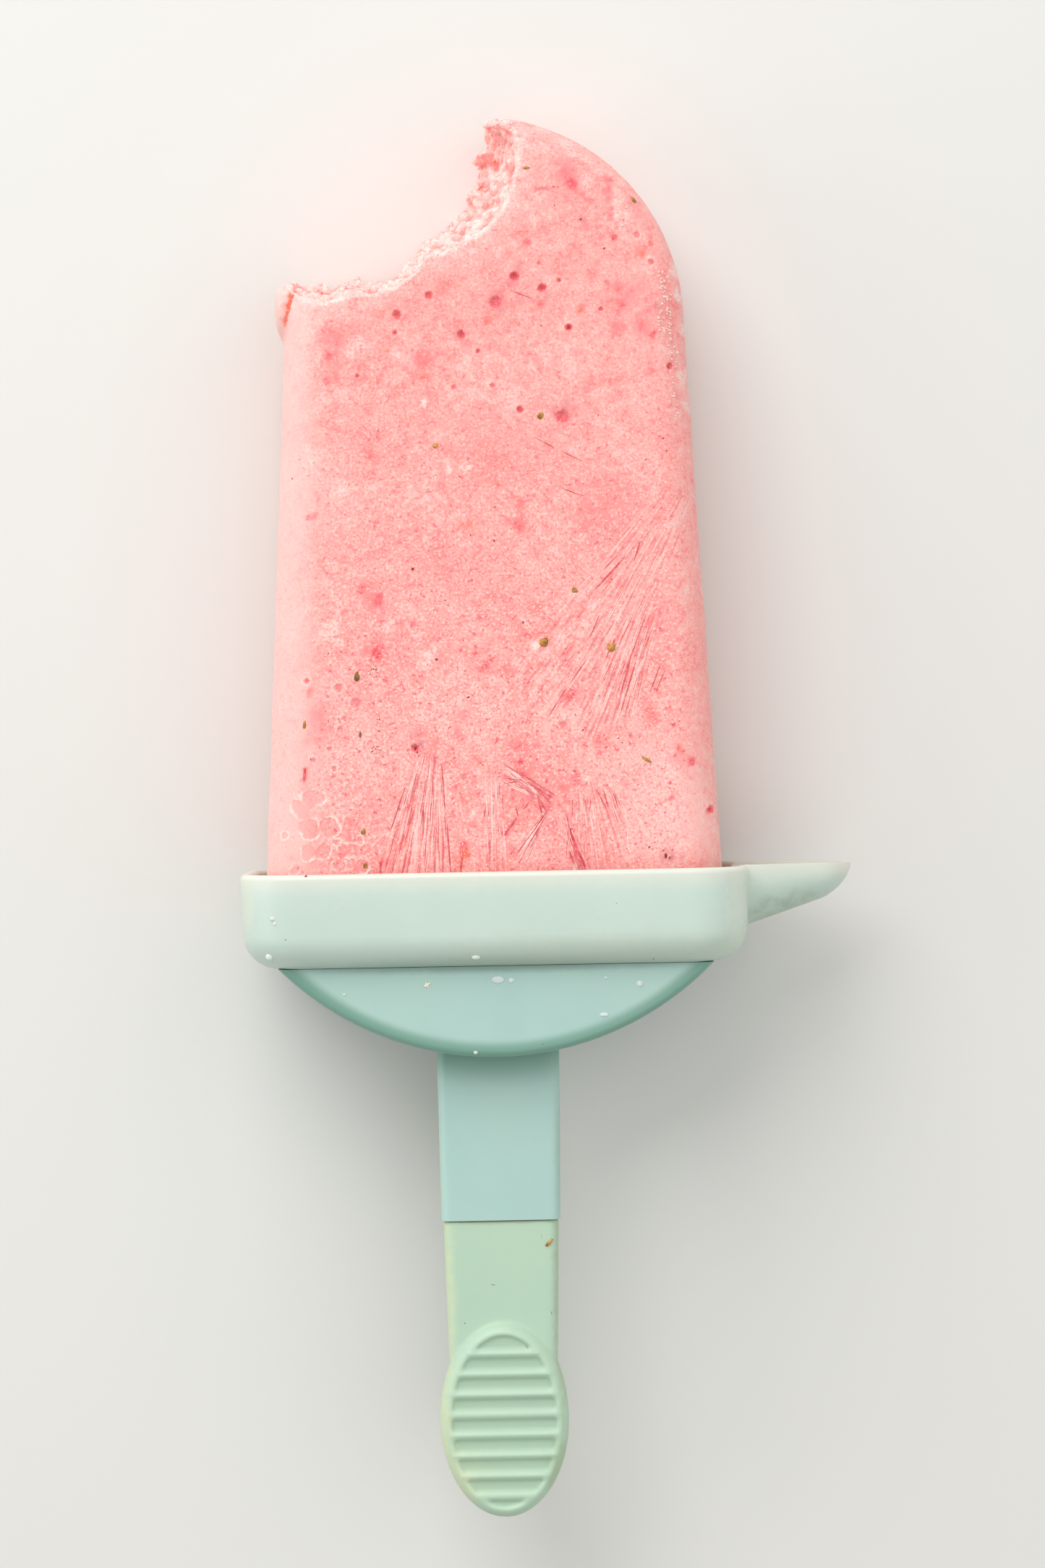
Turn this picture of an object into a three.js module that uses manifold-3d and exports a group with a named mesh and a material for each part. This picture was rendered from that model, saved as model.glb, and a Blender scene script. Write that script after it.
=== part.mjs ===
// A home-made strawberry ice pop on a reusable mould handle, bitten at one top corner and lying on its back.
// Everything is shaped in the pop's own frame: X across, Y along it towards the tip with 0 at the tray's rim,
// and Z through its thickness with 0 in the middle. One group then lays it down. Millimetres.
import * as THREE from "three";
import { mergeVertices } from "three/addons/utils/BufferGeometryUtils.js";
import Module from "manifold-3d";

const GAP = 0.3; // between pieces that touch
const FAR = 300; // larger than the whole part

// Frozen pop: sides that draw in towards a tip of two arcs, a face that thins towards the tip.
const POP = {
  rimHalfWidth: 31.2,
  tipArcRadius: 28.3,
  tipArcOffset: 1.0, // each arc's centre, past the middle line
  tipArcY: 74.65,
  baseY: -10.5,
  baseHalfThickness: 12,
  thinning: 0.0174, // lost from the half thickness for each millimetre towards the tip
  edgeRadius: 6,
};
const SIDE_SLOPE = 0.0508; // how fast each side draws in

// Bite: four tooth marks, each a round scoop on the front face that shrinks towards the back face.
const SCOOPS = [
  { front: [0.65, 97.05, 4.1], back: [-3.6, 100.6, 4.2] },
  { front: [-8.9, 97.05, 13.7], back: [-11.8, 99.4, 11.7] },
  { front: [-16.05, 87.4, 9.0], back: [-16.4, 90.9, 8.4] },
  { front: [-21.8, 84.2, 6.8], back: [-22.6, 87.6, 5.5] },
];
const BITE = {
  hornAngle: [83, 10], // where the first scoop's edge turns up and leaves the tip, front and back, in degrees
  outsideX: -42,
  outsideY: 116,
  wallPoints: [9, 20, 12, 15],
  levels: 26,
  lipRadius: 0.8,
  crag: 0.55,
  cragSize: 2.3,
  grit: 0.25,
  gritSize: 1.05,
};

// Sliver of skin that has lifted off the left side below the bite, and the crack behind it.
const FLAKE = { at: [-27.1, 77.4, 1.5], half: [0.95, 3.8, 5.6], lean: -0.05 };
const CRACK = { at: [-26.6, 79.4, 5], half: [0.24, 4.2, 5.2], lean: -0.17 };

// Strawberry seeds on the face: place across and along, and how far each is turned.
const SEED_HALF = [0.66, 0.42, 0.34];
const SEEDS = [
  [6.1, 95.0, 0.1],
  [20.4, 90.6, 1.2],
  [-6.9, 57.6, 0.5],
  [7.4, 61.4, 0.9],
  [11.6, 37.7, 0.2],
  [7.3, 30.8, 0.4],
  [16.4, 30.0, 1.3],
  [-18.1, 26.6, 1.5],
  [-25.3, 20.2, 1.4],
  [-17.8, 18.7, 0.7],
  [-17.6, 5.6, 1.1],
  [21.1, 14.5, 2.4],
];

// Air holes and blisters in the face: place, radius and depth.
const PITS = [
  [4.2, 80.3, 0.75, 0.6],
  [7.9, 78.7, 0.65, 0.5],
  [-7.4, 78.0, 0.6, 0.45],
  [-11.8, 75.4, 0.7, 0.5],
  [1.6, 76.9, 0.95, 0.35],
  [-3.2, 72.6, 0.65, 0.5],
  [11.4, 73.3, 0.55, 0.45],
  [10.4, 61.3, 1.0, 0.35],
  [25.1, 67.9, 0.5, 0.5],
  [-10.4, 16.7, 0.65, 0.4],
  [-18.2, 23.0, 0.8, 0.25],
  [-20.8, 25.3, 0.65, 0.25],
  [-19.9, 20.8, 0.6, 0.25],
  [-21.4, 14.0, 0.7, 0.25],
];

// Fans of ice needles pressed into the face: where they meet, their heading and spread in degrees,
// the radius that they start at, their length and their count.
const NEEDLE = { radius: 0.36, raised: 0.08 };
const FANS = [
  { at: [-7.5, 24], heading: -98, spread: 24, start: 8, length: 12, count: 11 },
  { at: [-1, 30], heading: -90, spread: 6, start: 17, length: 11, count: 4 },
  { at: [8.2, 9.5], heading: 150, spread: 34, start: 1, length: 7, count: 5 },
  { at: [8.6, 9.5], heading: -122, spread: 30, start: 1, length: 8, count: 4 },
  { at: [9.2, 9], heading: -68, spread: 14, start: 1, length: 8, count: 3 },
  { at: [33, 62], heading: -123, spread: 16, start: 12, length: 15, count: 10 },
  { at: [24, 40], heading: -112, spread: 14, start: 6, length: 11, count: 5 },
];

// Drip tray: a drafted rounded box round the base of the pop, with an open gutter for a spout.
const TRAY = {
  halfWidth: 34.7,
  halfDepth: 15.6,
  cornerRadius: 8,
  height: 12.9,
  draft: 0.036,
  wall: 1.6,
  floor: 2.0,
  footRadius: 4.5,
  insideRadius: 1.5,
};
const SPOUT = {
  rootX: 34.1,
  tipX: 49.3,
  depth: { atRim: 8.7, slope: 0.336 },
  halfWidth: { atRim: 6.7, slope: 0.22 },
  nose: 4.3, // length of its rounded end
  fullness: 2.4,
  wall: 1.2,
};
const GUTTER = { startX: 31.2, above: 3 };

// Handle: a half-moon shoulder under the tray with the stem below it, then the grip with its oval thumb pad.
const SHOULDER = { radius: 41.4, centreY: 16.05, halfThickness: 11, edgeRadius: 2.6 };
const STEM = {
  intoShoulder: 4,
  endY: -48.4,
  halfWidthTop: 8.5,
  halfWidthEnd: 8.2,
  halfThickness: 3.5,
  edgeRadius: 1.5,
};
const GRIP = {
  topY: STEM.endY - GAP,
  halfWidthTop: 7.95,
  halfWidthEnd: 7.4,
  endY: -72,
  halfThickness: 3.2,
  edgeRadius: 1.5,
};
const PAD = {
  centreY: -75.95,
  halfWidth: 8.88,
  halfLength: 13.45,
  halfThickness: 4.75,
  edgeRadius: 2.1,
  border: 1.55,
  recess: 0.65,
};
const BAR_SEGMENTS = { bevelSegments: 4, curveSegments: 1 };
const RIBS = { firstY: -66.6, spacing: 2.8, count: 8, halfWidth: 0.6, below: 0.05, inBorder: 0.4 };

// How it lies: the tray's back rim and the pop's tip touch the table, each on a narrow flat.
const LIE = { tilt: THREE.MathUtils.degToRad(3.2), flatDepth: 0.12 };

const wasm = await Module();
wasm.setup();

// ---- tools ----

function solidFrom(geometry) {
  const bare = new THREE.BufferGeometry();
  bare.setAttribute("position", geometry.getAttribute("position"));
  bare.setIndex(geometry.index);
  const merged = mergeVertices(bare.index ? bare.toNonIndexed() : bare, 1e-5);
  return new wasm.Manifold(
    new wasm.Mesh({
      numProp: 3,
      vertProperties: merged.getAttribute("position").array,
      triVerts: new Uint32Array(merged.index.array),
    }),
  );
}

function geometryFrom(solid) {
  const { vertProperties, triVerts } = solid.getMesh();
  const geometry = new THREE.BufferGeometry();
  geometry.setAttribute("position", new THREE.BufferAttribute(new Float32Array(vertProperties), 3));
  geometry.setIndex(new THREE.BufferAttribute(new Uint32Array(triVerts), 1));
  geometry.computeVertexNormals();
  return geometry;
}

// All the space past a height along Y, above it where side is 1 and below it where side is -1.
function spacePast(y, side) {
  const box = new THREE.BoxGeometry(FAR, FAR, FAR);
  return solidFrom(box.translate(0, y + (side * FAR) / 2, 0));
}

// An outline extruded both ways from the middle plane, its edges rounded to the stated radius.
function roundedPlate(shape, halfThickness, edgeRadius, segments) {
  const plate = new THREE.ExtrudeGeometry(shape, {
    depth: 2 * (halfThickness - edgeRadius),
    bevelThickness: edgeRadius,
    bevelSize: edgeRadius,
    bevelOffset: -edgeRadius,
    ...segments,
  });
  return solidFrom(plate.translate(0, 0, edgeRadius - halfThickness));
}

// A closed solid through outlines in X and Y, each at its own height in Z, with the same number of points.
function loft(levels) {
  const count = levels[0].outline.length;
  const positions = levels.flatMap(({ outline, at }) => outline.flatMap((p) => [p.x, p.y, at]));
  const faces = [];
  for (let level = 0; level + 1 < levels.length; level += 1) {
    for (let i = 0; i < count; i += 1) {
      const [a, b] = [level * count + i, level * count + ((i + 1) % count)];
      faces.push(a, b, b + count, a, b + count, a + count);
    }
  }
  const lastLevel = (levels.length - 1) * count;
  for (const [a, b, c] of THREE.ShapeUtils.triangulateShape(levels[0].outline, [])) faces.push(c, b, a);
  for (const [a, b, c] of THREE.ShapeUtils.triangulateShape(levels.at(-1).outline, [])) {
    faces.push(a + lastLevel, b + lastLevel, c + lastLevel);
  }
  const geometry = new THREE.BufferGeometry();
  geometry.setAttribute("position", new THREE.Float32BufferAttribute(positions, 3));
  geometry.setIndex(faces);
  return geometry;
}

// Repeatable value noise from -1 to 1 that varies over about one unit.
function latticeValue(i, j, k) {
  let h = Math.imul(i, 374761393) ^ Math.imul(j, 668265263) ^ Math.imul(k, 1103515245);
  h = Math.imul(h ^ (h >>> 13), 1274126177);
  return ((h ^ (h >>> 16)) >>> 0) / 2147483648 - 1;
}

function noise(...point) {
  const cell = point.map(Math.floor);
  const ease = point.map((value, axis) => THREE.MathUtils.smoothstep(value - cell[axis], 0, 1));
  let sum = 0;
  for (let corner = 0; corner < 8; corner += 1) {
    const step = [corner & 1, (corner >> 1) & 1, corner >> 2];
    const weight = step.reduce((w, s, axis) => w * (s ? ease[axis] : 1 - ease[axis]), 1);
    sum += weight * latticeValue(...cell.map((value, axis) => value + step[axis]));
  }
  return sum;
}

// Random draws that come out the same each time.
function seededRandom(seed) {
  let state = seed;
  return () => {
    state = (Math.imul(state, 1664525) + 1013904223) >>> 0;
    return state / 4294967296;
  };
}

// ---- pop ----

function popOutline() {
  const { tipArcRadius: radius, tipArcOffset: offset, tipArcY: y } = POP;
  const lean = Math.atan(SIDE_SLOPE);
  const peak = Math.acos(offset / radius);
  const outline = new THREE.Shape();
  const belowBase = POP.baseY - 2 * POP.edgeRadius;
  const halfWidthBelow = POP.rimHalfWidth - SIDE_SLOPE * belowBase;
  outline.moveTo(-halfWidthBelow, belowBase);
  outline.lineTo(halfWidthBelow, belowBase);
  outline.absarc(-offset, y, radius, lean, peak, false);
  outline.absarc(offset, y, radius, Math.PI - peak, Math.PI - lean, false);
  return outline;
}

// Height of the front face over a place on it, before the thinning: flat, then rounded off at its edge.
function faceZ(x, y) {
  const { rimHalfWidth, tipArcRadius, tipArcOffset, tipArcY, baseHalfThickness, edgeRadius } = POP;
  const across = Math.abs(x);
  const toSide = (rimHalfWidth - SIDE_SLOPE * y - across) * Math.cos(Math.atan(SIDE_SLOPE));
  const toArc = tipArcRadius - Math.hypot(across + tipArcOffset, y - tipArcY);
  const past = Math.max(edgeRadius - (y > tipArcY ? toArc : toSide), 0);
  return baseHalfThickness - edgeRadius + Math.sqrt(Math.max(edgeRadius ** 2 - past ** 2, 0));
}

// Where two scoops' edges cross, on the side where the frozen wall is.
function crossing([ax, ay, ar], [bx, by, br]) {
  const apart = Math.hypot(bx - ax, by - ay);
  const along = (apart ** 2 + ar ** 2 - br ** 2) / (2 * apart);
  const aside = Math.sqrt(ar ** 2 - along ** 2);
  const unit = [(bx - ax) / apart, (by - ay) / apart];
  return new THREE.Vector2(
    ax + along * unit[0] + aside * unit[1],
    ay + along * unit[1] - aside * unit[0],
  );
}

// The bite's wall from the tip down to the left side, at a depth of 0 on the front face and 1 on the back.
function biteWall(depth) {
  const between = ({ front, back }) => front.map((value, i) => THREE.MathUtils.lerp(value, back[i], depth));
  const scoops = SCOOPS.map(between);
  const [horn, ...marks] = scoops;
  const start = THREE.MathUtils.degToRad(THREE.MathUtils.lerp(...BITE.hornAngle, depth));
  const cusps = marks.slice(1).map((mark, i) => crossing(mark, marks[i]));
  const joins = [null, new THREE.Vector2(horn[0] + horn[2], horn[1]), ...cusps, null];
  return scoops.flatMap(([x, y, radius], i) => {
    const angleTo = (point) => Math.atan2(point.y - y, point.x - x);
    const from = joins[i] ? angleTo(joins[i]) : start;
    const to = joins[i + 1] ? angleTo(joins[i + 1]) : -Math.PI;
    const steps = BITE.wallPoints[i];
    return Array.from({ length: steps }, (_, step) => {
      const angle = THREE.MathUtils.lerp(from, to, step / steps);
      return new THREE.Vector2(x + radius * Math.cos(angle), y + radius * Math.sin(angle));
    });
  });
}

// The smoothed direction into the frozen wall at each of its points.
function intoWall(wall) {
  const reach = 3;
  return wall.map((_, i) => {
    const before = wall[Math.max(i - reach, 0)];
    const after = wall[Math.min(i + reach, wall.length - 1)];
    return new THREE.Vector2(before.y - after.y, after.x - before.x).normalize();
  });
}

// The bite's solid: scoops with crags on their wall, a little wider at the front face to round its edge.
function biteCutter() {
  const top = POP.baseHalfThickness;
  const lip = BITE.lipRadius;
  const heights = [top + 1, top, top - 0.25 * lip, top - 0.6 * lip, top - lip];
  const rest = BITE.levels - heights.length;
  for (let i = 1; i <= rest; i += 1) heights.push(top - lip - ((2 * top + 1 - lip) * i) / rest);
  const levels = heights.reverse().map((z) => {
    const wall = biteWall(THREE.MathUtils.clamp((top - z) / (2 * top), 0, 1));
    const inward = intoWall(wall);
    const below = THREE.MathUtils.clamp((top - z) / lip, 0, 1);
    const widening = lip * (1 - Math.sqrt(1 - (1 - below) ** 2));
    const rough = THREE.MathUtils.smoothstep(top - z, 0.3, 2);
    const craggy = wall.map((p, i) => {
      const crag = BITE.crag * noise(p.x / BITE.cragSize, p.y / BITE.cragSize, z / BITE.cragSize);
      const grit = BITE.grit * noise(p.x / BITE.gritSize, p.y / BITE.gritSize, z / BITE.gritSize);
      return p.clone().addScaledVector(inward[i], widening + rough * (crag + grit));
    });
    const outline = [
      ...craggy,
      new THREE.Vector2(BITE.outsideX, craggy.at(-1).y),
      new THREE.Vector2(BITE.outsideX, BITE.outsideY),
      new THREE.Vector2(craggy[0].x, BITE.outsideY),
    ];
    return { outline: outline.reverse(), at: z };
  });
  return solidFrom(loft(levels));
}

// A flattened ball at a place, turned in the face's plane.
function pebble([x, y, z], half, turn, detail) {
  const ball = new THREE.IcosahedronGeometry(1, detail);
  return solidFrom(ball.scale(...half).rotateZ(turn).translate(x, y, z));
}

// Thin three-sided spikes that lie in the face, each cutting a groove that fades to a point.
function needleCutters(random) {
  return FANS.flatMap(({ at, heading, spread, start, length, count }) =>
    Array.from({ length: count }, (_, i) => {
      const share = count > 1 ? i / (count - 1) - 0.5 : 0;
      const angle = THREE.MathUtils.degToRad(heading + spread * share + 2 * (random() - 0.5));
      const reach = length * (0.6 + 0.4 * random());
      const radius = start + reach / 2 + 1.5 * random();
      const spike = new THREE.ConeGeometry(NEEDLE.radius, reach, 3).rotateZ(angle + Math.PI / 2);
      const middle = [at[0] + radius * Math.cos(angle), at[1] + radius * Math.sin(angle)];
      return solidFrom(spike.translate(...middle, faceZ(...middle) + NEEDLE.raised));
    }),
  );
}

// Thins the plate towards its tip.
function thinned(solid) {
  const geometry = geometryFrom(solid);
  const position = geometry.getAttribute("position");
  for (let i = 0; i < position.count; i += 1) {
    const lost = (POP.thinning * (position.getY(i) - POP.baseY)) / POP.baseHalfThickness;
    position.setZ(i, position.getZ(i) * (1 - lost));
  }
  return solidFrom(geometry);
}

function makePop() {
  const { baseHalfThickness, edgeRadius, baseY } = POP;
  const segments = { bevelSegments: 6, curveSegments: 14 };
  let pop = roundedPlate(popOutline(), baseHalfThickness, edgeRadius, segments);
  pop = pop.subtract(spacePast(baseY, -1));
  pop = pop.subtract(biteCutter());
  pop = pop.add(pebble(FLAKE.at, FLAKE.half, FLAKE.lean, 1));
  pop = pop.subtract(pebble(CRACK.at, CRACK.half, CRACK.lean, 1));
  for (const [x, y, radius, depth] of PITS) {
    pop = pop.subtract(pebble([x, y, faceZ(x, y)], [radius, radius, depth], x, 0));
  }
  for (const cutter of needleCutters(seededRandom(7))) pop = pop.subtract(cutter);
  for (const [x, y, turn] of SEEDS) pop = pop.add(pebble([x, y, faceZ(x, y)], SEED_HALF, turn, 0));
  return thinned(pop);
}

// ---- tray ----

function roundedRectangle(halfWidth, halfDepth, radius) {
  const corners = [
    [halfWidth - radius, halfDepth - radius, 0],
    [radius - halfWidth, halfDepth - radius, 1],
    [radius - halfWidth, radius - halfDepth, 2],
    [halfWidth - radius, radius - halfDepth, 3],
  ];
  const steps = 7;
  return corners.flatMap(([x, y, quarter]) =>
    Array.from({ length: steps + 1 }, (_, i) => {
      const angle = ((quarter + i / steps) * Math.PI) / 2;
      return new THREE.Vector2(x + radius * Math.cos(angle), y + radius * Math.sin(angle));
    }),
  );
}

// The tray's wall in section, as insets from the rim's outline and heights: out and up from the underside,
// over the round lip, and down to the floor.
function traySection() {
  const { height, draft, wall, floor, footRadius, insideRadius } = TRAY;
  const lip = wall / 2;
  const section = new THREE.Path();
  const footX = draft * height + footRadius;
  section.absarc(footX, footRadius - height, footRadius, 1.5 * Math.PI, Math.PI, true);
  section.absarc(lip, -lip, lip, Math.PI, 0, true);
  const insideX = wall + draft * (height - floor) + insideRadius;
  section.absarc(insideX, floor - height + insideRadius, insideRadius, Math.PI, 1.5 * Math.PI, false);
  return section.getPoints(6);
}

// The spout's reach down or to one side at X: it draws in steadily and ends in a round nose.
function spoutReach({ atRim, slope }, x) {
  const { rootX, tipX, nose } = SPOUT;
  const intoNose = THREE.MathUtils.clamp(1 - (tipX - x) / nose, 0, 1);
  return (atRim - slope * Math.max(x - rootX, 0)) * Math.sqrt(1 - intoNose ** 2);
}

// A boat-shaped solid, flat on top, from its root to its tip: the spout, or the gutter in it.
function boat(startX, inset, above) {
  const { tipX, fullness } = SPOUT;
  const [rows, sides, least] = [12, 12, 0.1];
  const levels = Array.from({ length: rows + 1 }, (_, row) => {
    const share = Math.sin((row / rows) * (Math.PI / 2));
    const x = THREE.MathUtils.lerp(startX, tipX - inset, share);
    const depth = Math.max(spoutReach(SPOUT.depth, x) - inset, least);
    const halfWidth = Math.max(spoutReach(SPOUT.halfWidth, x) - inset, least);
    const keel = Array.from({ length: sides + 1 }, (_, i) => {
      const angle = (i / sides) * Math.PI;
      const [c, s] = [Math.cos(angle), Math.sin(angle)];
      const across = Math.sign(c) * Math.abs(c) ** (2 / fullness) * halfWidth;
      return new THREE.Vector2(-(s ** (2 / fullness)) * depth, across);
    });
    const deck = above ? [new THREE.Vector2(above, -halfWidth), new THREE.Vector2(above, halfWidth)] : [];
    return { outline: [...keel, ...deck], at: x };
  });
  const [alongX, alongY, alongZ] = [[1, 0, 0], [0, 1, 0], [0, 0, 1]].map((v) => new THREE.Vector3(...v));
  return solidFrom(loft(levels).applyMatrix4(new THREE.Matrix4().makeBasis(alongY, alongZ, alongX)));
}

function makeTray() {
  const levels = traySection().map(({ x: inset, y }) => ({
    outline: roundedRectangle(
      TRAY.halfWidth - inset,
      TRAY.halfDepth - inset,
      Math.max(TRAY.cornerRadius - inset, TRAY.insideRadius),
    ),
    at: y,
  }));
  const shell = solidFrom(loft(levels).rotateX(-Math.PI / 2));
  return shell.add(boat(SPOUT.rootX, 0, 0)).subtract(boat(GUTTER.startX, SPOUT.wall, GUTTER.above));
}

// ---- handle and grip ----

// A bar's outline, symmetric about the middle line, between two heights.
function barOutline(topY, halfWidthTop, endY, halfWidthEnd) {
  return new THREE.Shape([
    new THREE.Vector2(-halfWidthEnd, endY),
    new THREE.Vector2(halfWidthEnd, endY),
    new THREE.Vector2(halfWidthTop, topY),
    new THREE.Vector2(-halfWidthTop, topY),
  ]);
}

// The thumb pad's oval, drawn in by an inset.
function padOval(inset) {
  const [halfWidth, halfLength] = [PAD.halfWidth - inset, PAD.halfLength - inset];
  return new THREE.Shape().absellipse(0, PAD.centreY, halfWidth, halfLength, 0, 2 * Math.PI, false);
}

function makeHandle() {
  const { radius, centreY, halfThickness, edgeRadius } = SHOULDER;
  const topY = -TRAY.height - GAP;
  const disc = new THREE.Shape().absarc(0, centreY, radius, 0, 2 * Math.PI, false);
  const moon = roundedPlate(disc, halfThickness, edgeRadius, { bevelSegments: 5, curveSegments: 54 });
  const stemTop = centreY - radius + STEM.intoShoulder;
  const below = STEM.endY - 2 * STEM.edgeRadius;
  const outline = barOutline(stemTop, STEM.halfWidthTop, below, STEM.halfWidthEnd);
  const stem = roundedPlate(outline, STEM.halfThickness, STEM.edgeRadius, BAR_SEGMENTS);
  return moon.subtract(spacePast(topY, 1)).add(stem).subtract(spacePast(STEM.endY, -1));
}

// One face of the thumb pad: an oval recess with rounded ribs across it.
// side is 1 on the front and -1 on the back.
function ribbedRecess(pad, side) {
  const [ovalHalfWidth, ovalHalfLength] = [PAD.halfWidth - PAD.border, PAD.halfLength - PAD.border];
  const floorZ = PAD.halfThickness - PAD.recess;
  const depth = 2 * PAD.recess;
  const flat = { depth, bevelEnabled: false, curveSegments: 20 };
  const recess = new THREE.ExtrudeGeometry(padOval(PAD.border), flat);
  let face = pad.subtract(solidFrom(recess.translate(0, 0, side > 0 ? floorZ : -floorZ - depth)));
  for (let i = 0; i < RIBS.count; i += 1) {
    const y = RIBS.firstY - RIBS.spacing * i;
    const share = Math.sqrt(1 - ((y - PAD.centreY) / ovalHalfLength) ** 2);
    const half = ovalHalfWidth * share + RIBS.inBorder;
    const rib = new THREE.CylinderGeometry(1, 1, 2 * half, 10).rotateZ(Math.PI / 2);
    rib.scale(1, RIBS.halfWidth, PAD.recess - RIBS.below).translate(0, y, side * floorZ);
    face = face.add(solidFrom(rib));
  }
  return face;
}

function makeGrip() {
  const above = GRIP.topY + 2 * GRIP.edgeRadius;
  const outline = barOutline(above, GRIP.halfWidthTop, GRIP.endY, GRIP.halfWidthEnd);
  const bar = roundedPlate(outline, GRIP.halfThickness, GRIP.edgeRadius, BAR_SEGMENTS);
  const segments = { bevelSegments: 4, curveSegments: 24 };
  const pad = roundedPlate(padOval(0), PAD.halfThickness, PAD.edgeRadius, segments);
  return ribbedRecess(ribbedRecess(pad.add(bar.subtract(spacePast(GRIP.topY, 1))), 1), -1);
}

// ---- the whole ----

// Lays the pop's own frame down so that the tray's back rim touches the table at the origin.
function layDown() {
  const lip = TRAY.wall / 2;
  const { tilt, flatDepth } = LIE;
  const low = new THREE.Vector3(0, lip * (Math.sin(tilt) - 1), lip - TRAY.halfDepth - lip * Math.cos(tilt));
  const group = new THREE.Group();
  group.rotation.x = -tilt;
  group.position.copy(low.applyEuler(group.rotation).negate());
  group.position.z -= flatDepth;
  group.updateMatrix();
  return group;
}

const lying = layDown();

// The space under the table, in the pop's own frame.
const underTable = solidFrom(
  new THREE.BoxGeometry(FAR, FAR, FAR).translate(0, 0, -FAR / 2).applyMatrix4(lying.matrix.clone().invert()),
);

function addPiece(name, solid, color, roughness) {
  const material = new THREE.MeshStandardMaterial({ color, roughness, metalness: 0 });
  const mesh = new THREE.Mesh(geometryFrom(solid), material);
  mesh.name = name;
  lying.add(mesh);
}

addPiece("pop", makePop().subtract(underTable), 0xfeb0ab, 0.6);
addPiece("tray", makeTray().subtract(underTable), 0xcfded4, 0.35);
addPiece("handle", makeHandle(), 0xb2d2cc, 0.35);
addPiece("grip", makeGrip(), 0xb9d3bb, 0.5);

const icePop = new THREE.Group();
icePop.add(lying);
export default icePop;
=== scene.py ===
"""A strawberry cream ice pop on its mould handle, bitten at one top corner and lying on its back.

Pieces are shaped in millimetres in the pop's own frame: X across, Y towards the tip with 0 at the drip tray's
rim, Z out of the face with 0 in the middle. LAY_DOWN then turns them into place on the table, in metres."""

import math
import random

import bmesh
import bpy
from mathutils import Euler, Matrix, Vector, kdtree, noise
from mathutils.bvhtree import BVHTree


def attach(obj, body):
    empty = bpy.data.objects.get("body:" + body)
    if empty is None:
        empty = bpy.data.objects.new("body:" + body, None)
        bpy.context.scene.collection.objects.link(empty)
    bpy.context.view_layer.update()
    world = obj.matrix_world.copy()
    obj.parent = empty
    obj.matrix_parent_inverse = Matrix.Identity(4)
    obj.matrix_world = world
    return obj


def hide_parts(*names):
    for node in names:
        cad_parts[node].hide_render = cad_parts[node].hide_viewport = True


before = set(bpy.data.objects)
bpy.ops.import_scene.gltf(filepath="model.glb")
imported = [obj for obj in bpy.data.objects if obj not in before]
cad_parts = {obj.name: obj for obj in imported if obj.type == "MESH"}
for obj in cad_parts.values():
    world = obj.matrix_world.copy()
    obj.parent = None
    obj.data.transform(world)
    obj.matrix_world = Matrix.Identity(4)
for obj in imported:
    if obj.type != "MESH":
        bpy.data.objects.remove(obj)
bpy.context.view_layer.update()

# ---- Drip tray ----
# A drafted rounded box of pale mint plastic that the pop's base stands in, with an open gutter that leads
# melted cream away through a spout on the right. Injection moulded in one piece with a full round rim.

TRAY_HALF_WIDTH = 34.7
TRAY_HALF_DEPTH = 15.475
TRAY_HEIGHT = 12.9
TRAY_DRAFT = 0.036
TRAY_WALL = 1.6
TRAY_FLOOR = 2.0
TRAY_CORNER = 8.0
TRAY_FOOT = 4.5
TRAY_INSIDE = 1.5
TRAY_RIM = 0.49 * TRAY_WALL
SPOUT_ROOT = 34.1
SPOUT_TIP = 49.3
SPOUT_DEPTH = (8.7, 0.336)  # at the root, and lost for each millimetre towards the tip
SPOUT_HALF_WIDTH = (6.7, 0.22)
SPOUT_NOSE = 4.3
SPOUT_FULLNESS = 2.4
SPOUT_STATIONS = 16
SPOUT_LEAST = 0.1
SPOUT_WALL = 1.2
GUTTER_START = 31.2
GUTTER_ABOVE = 3.0
LIE_TILT = math.radians(3.2)
LIE_HALF_DEPTH = 15.6
LIE_FLAT = 0.12
MILLIMETRE = 0.001
SAME_PLACE = 0.01


def lay_down():
    """From the pop's own frame to the table: the tray's back rim touches it at the origin."""
    lip = TRAY_WALL / 2
    low = Vector((0, lip * (math.sin(LIE_TILT) - 1), lip - LIE_HALF_DEPTH - lip * math.cos(LIE_TILT)))
    turn = Matrix.Rotation(-LIE_TILT, 4, "X")
    place = -(turn @ low) - Vector((0, 0, LIE_FLAT))
    return Matrix.Scale(MILLIMETRE, 4) @ Matrix.Translation(place) @ turn


LAY_DOWN = lay_down()


def held(bm):
    """The mesh in an object, for a modifier to work on."""
    mesh = bpy.data.meshes.new("held")
    bm.to_mesh(mesh)
    bm.free()
    holder = bpy.data.objects.new("held", mesh)
    bpy.context.scene.collection.objects.link(holder)
    return holder


def applied(holder, *tools):
    """The mesh that the holder's modifiers make. The holder and their tools are then gone."""
    graph = bpy.context.evaluated_depsgraph_get()
    mesh = bpy.data.meshes.new_from_object(holder.evaluated_get(graph))
    result = bmesh.new()
    result.from_mesh(mesh)
    bpy.data.meshes.remove(mesh)
    for used in (holder, *tools):
        bpy.data.meshes.remove(used.data)
    return result


def combined(bm, operation, *others):
    """The solid joined to or cut by others: operation is UNION or DIFFERENCE."""
    base = held(bm)
    tools = [held(other) for other in others]
    for tool in tools:
        step = base.modifiers.new("combine", "BOOLEAN")
        step.operation = operation
        step.solver = "EXACT"
        step.object = tool
    return applied(base, *tools)


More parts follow.
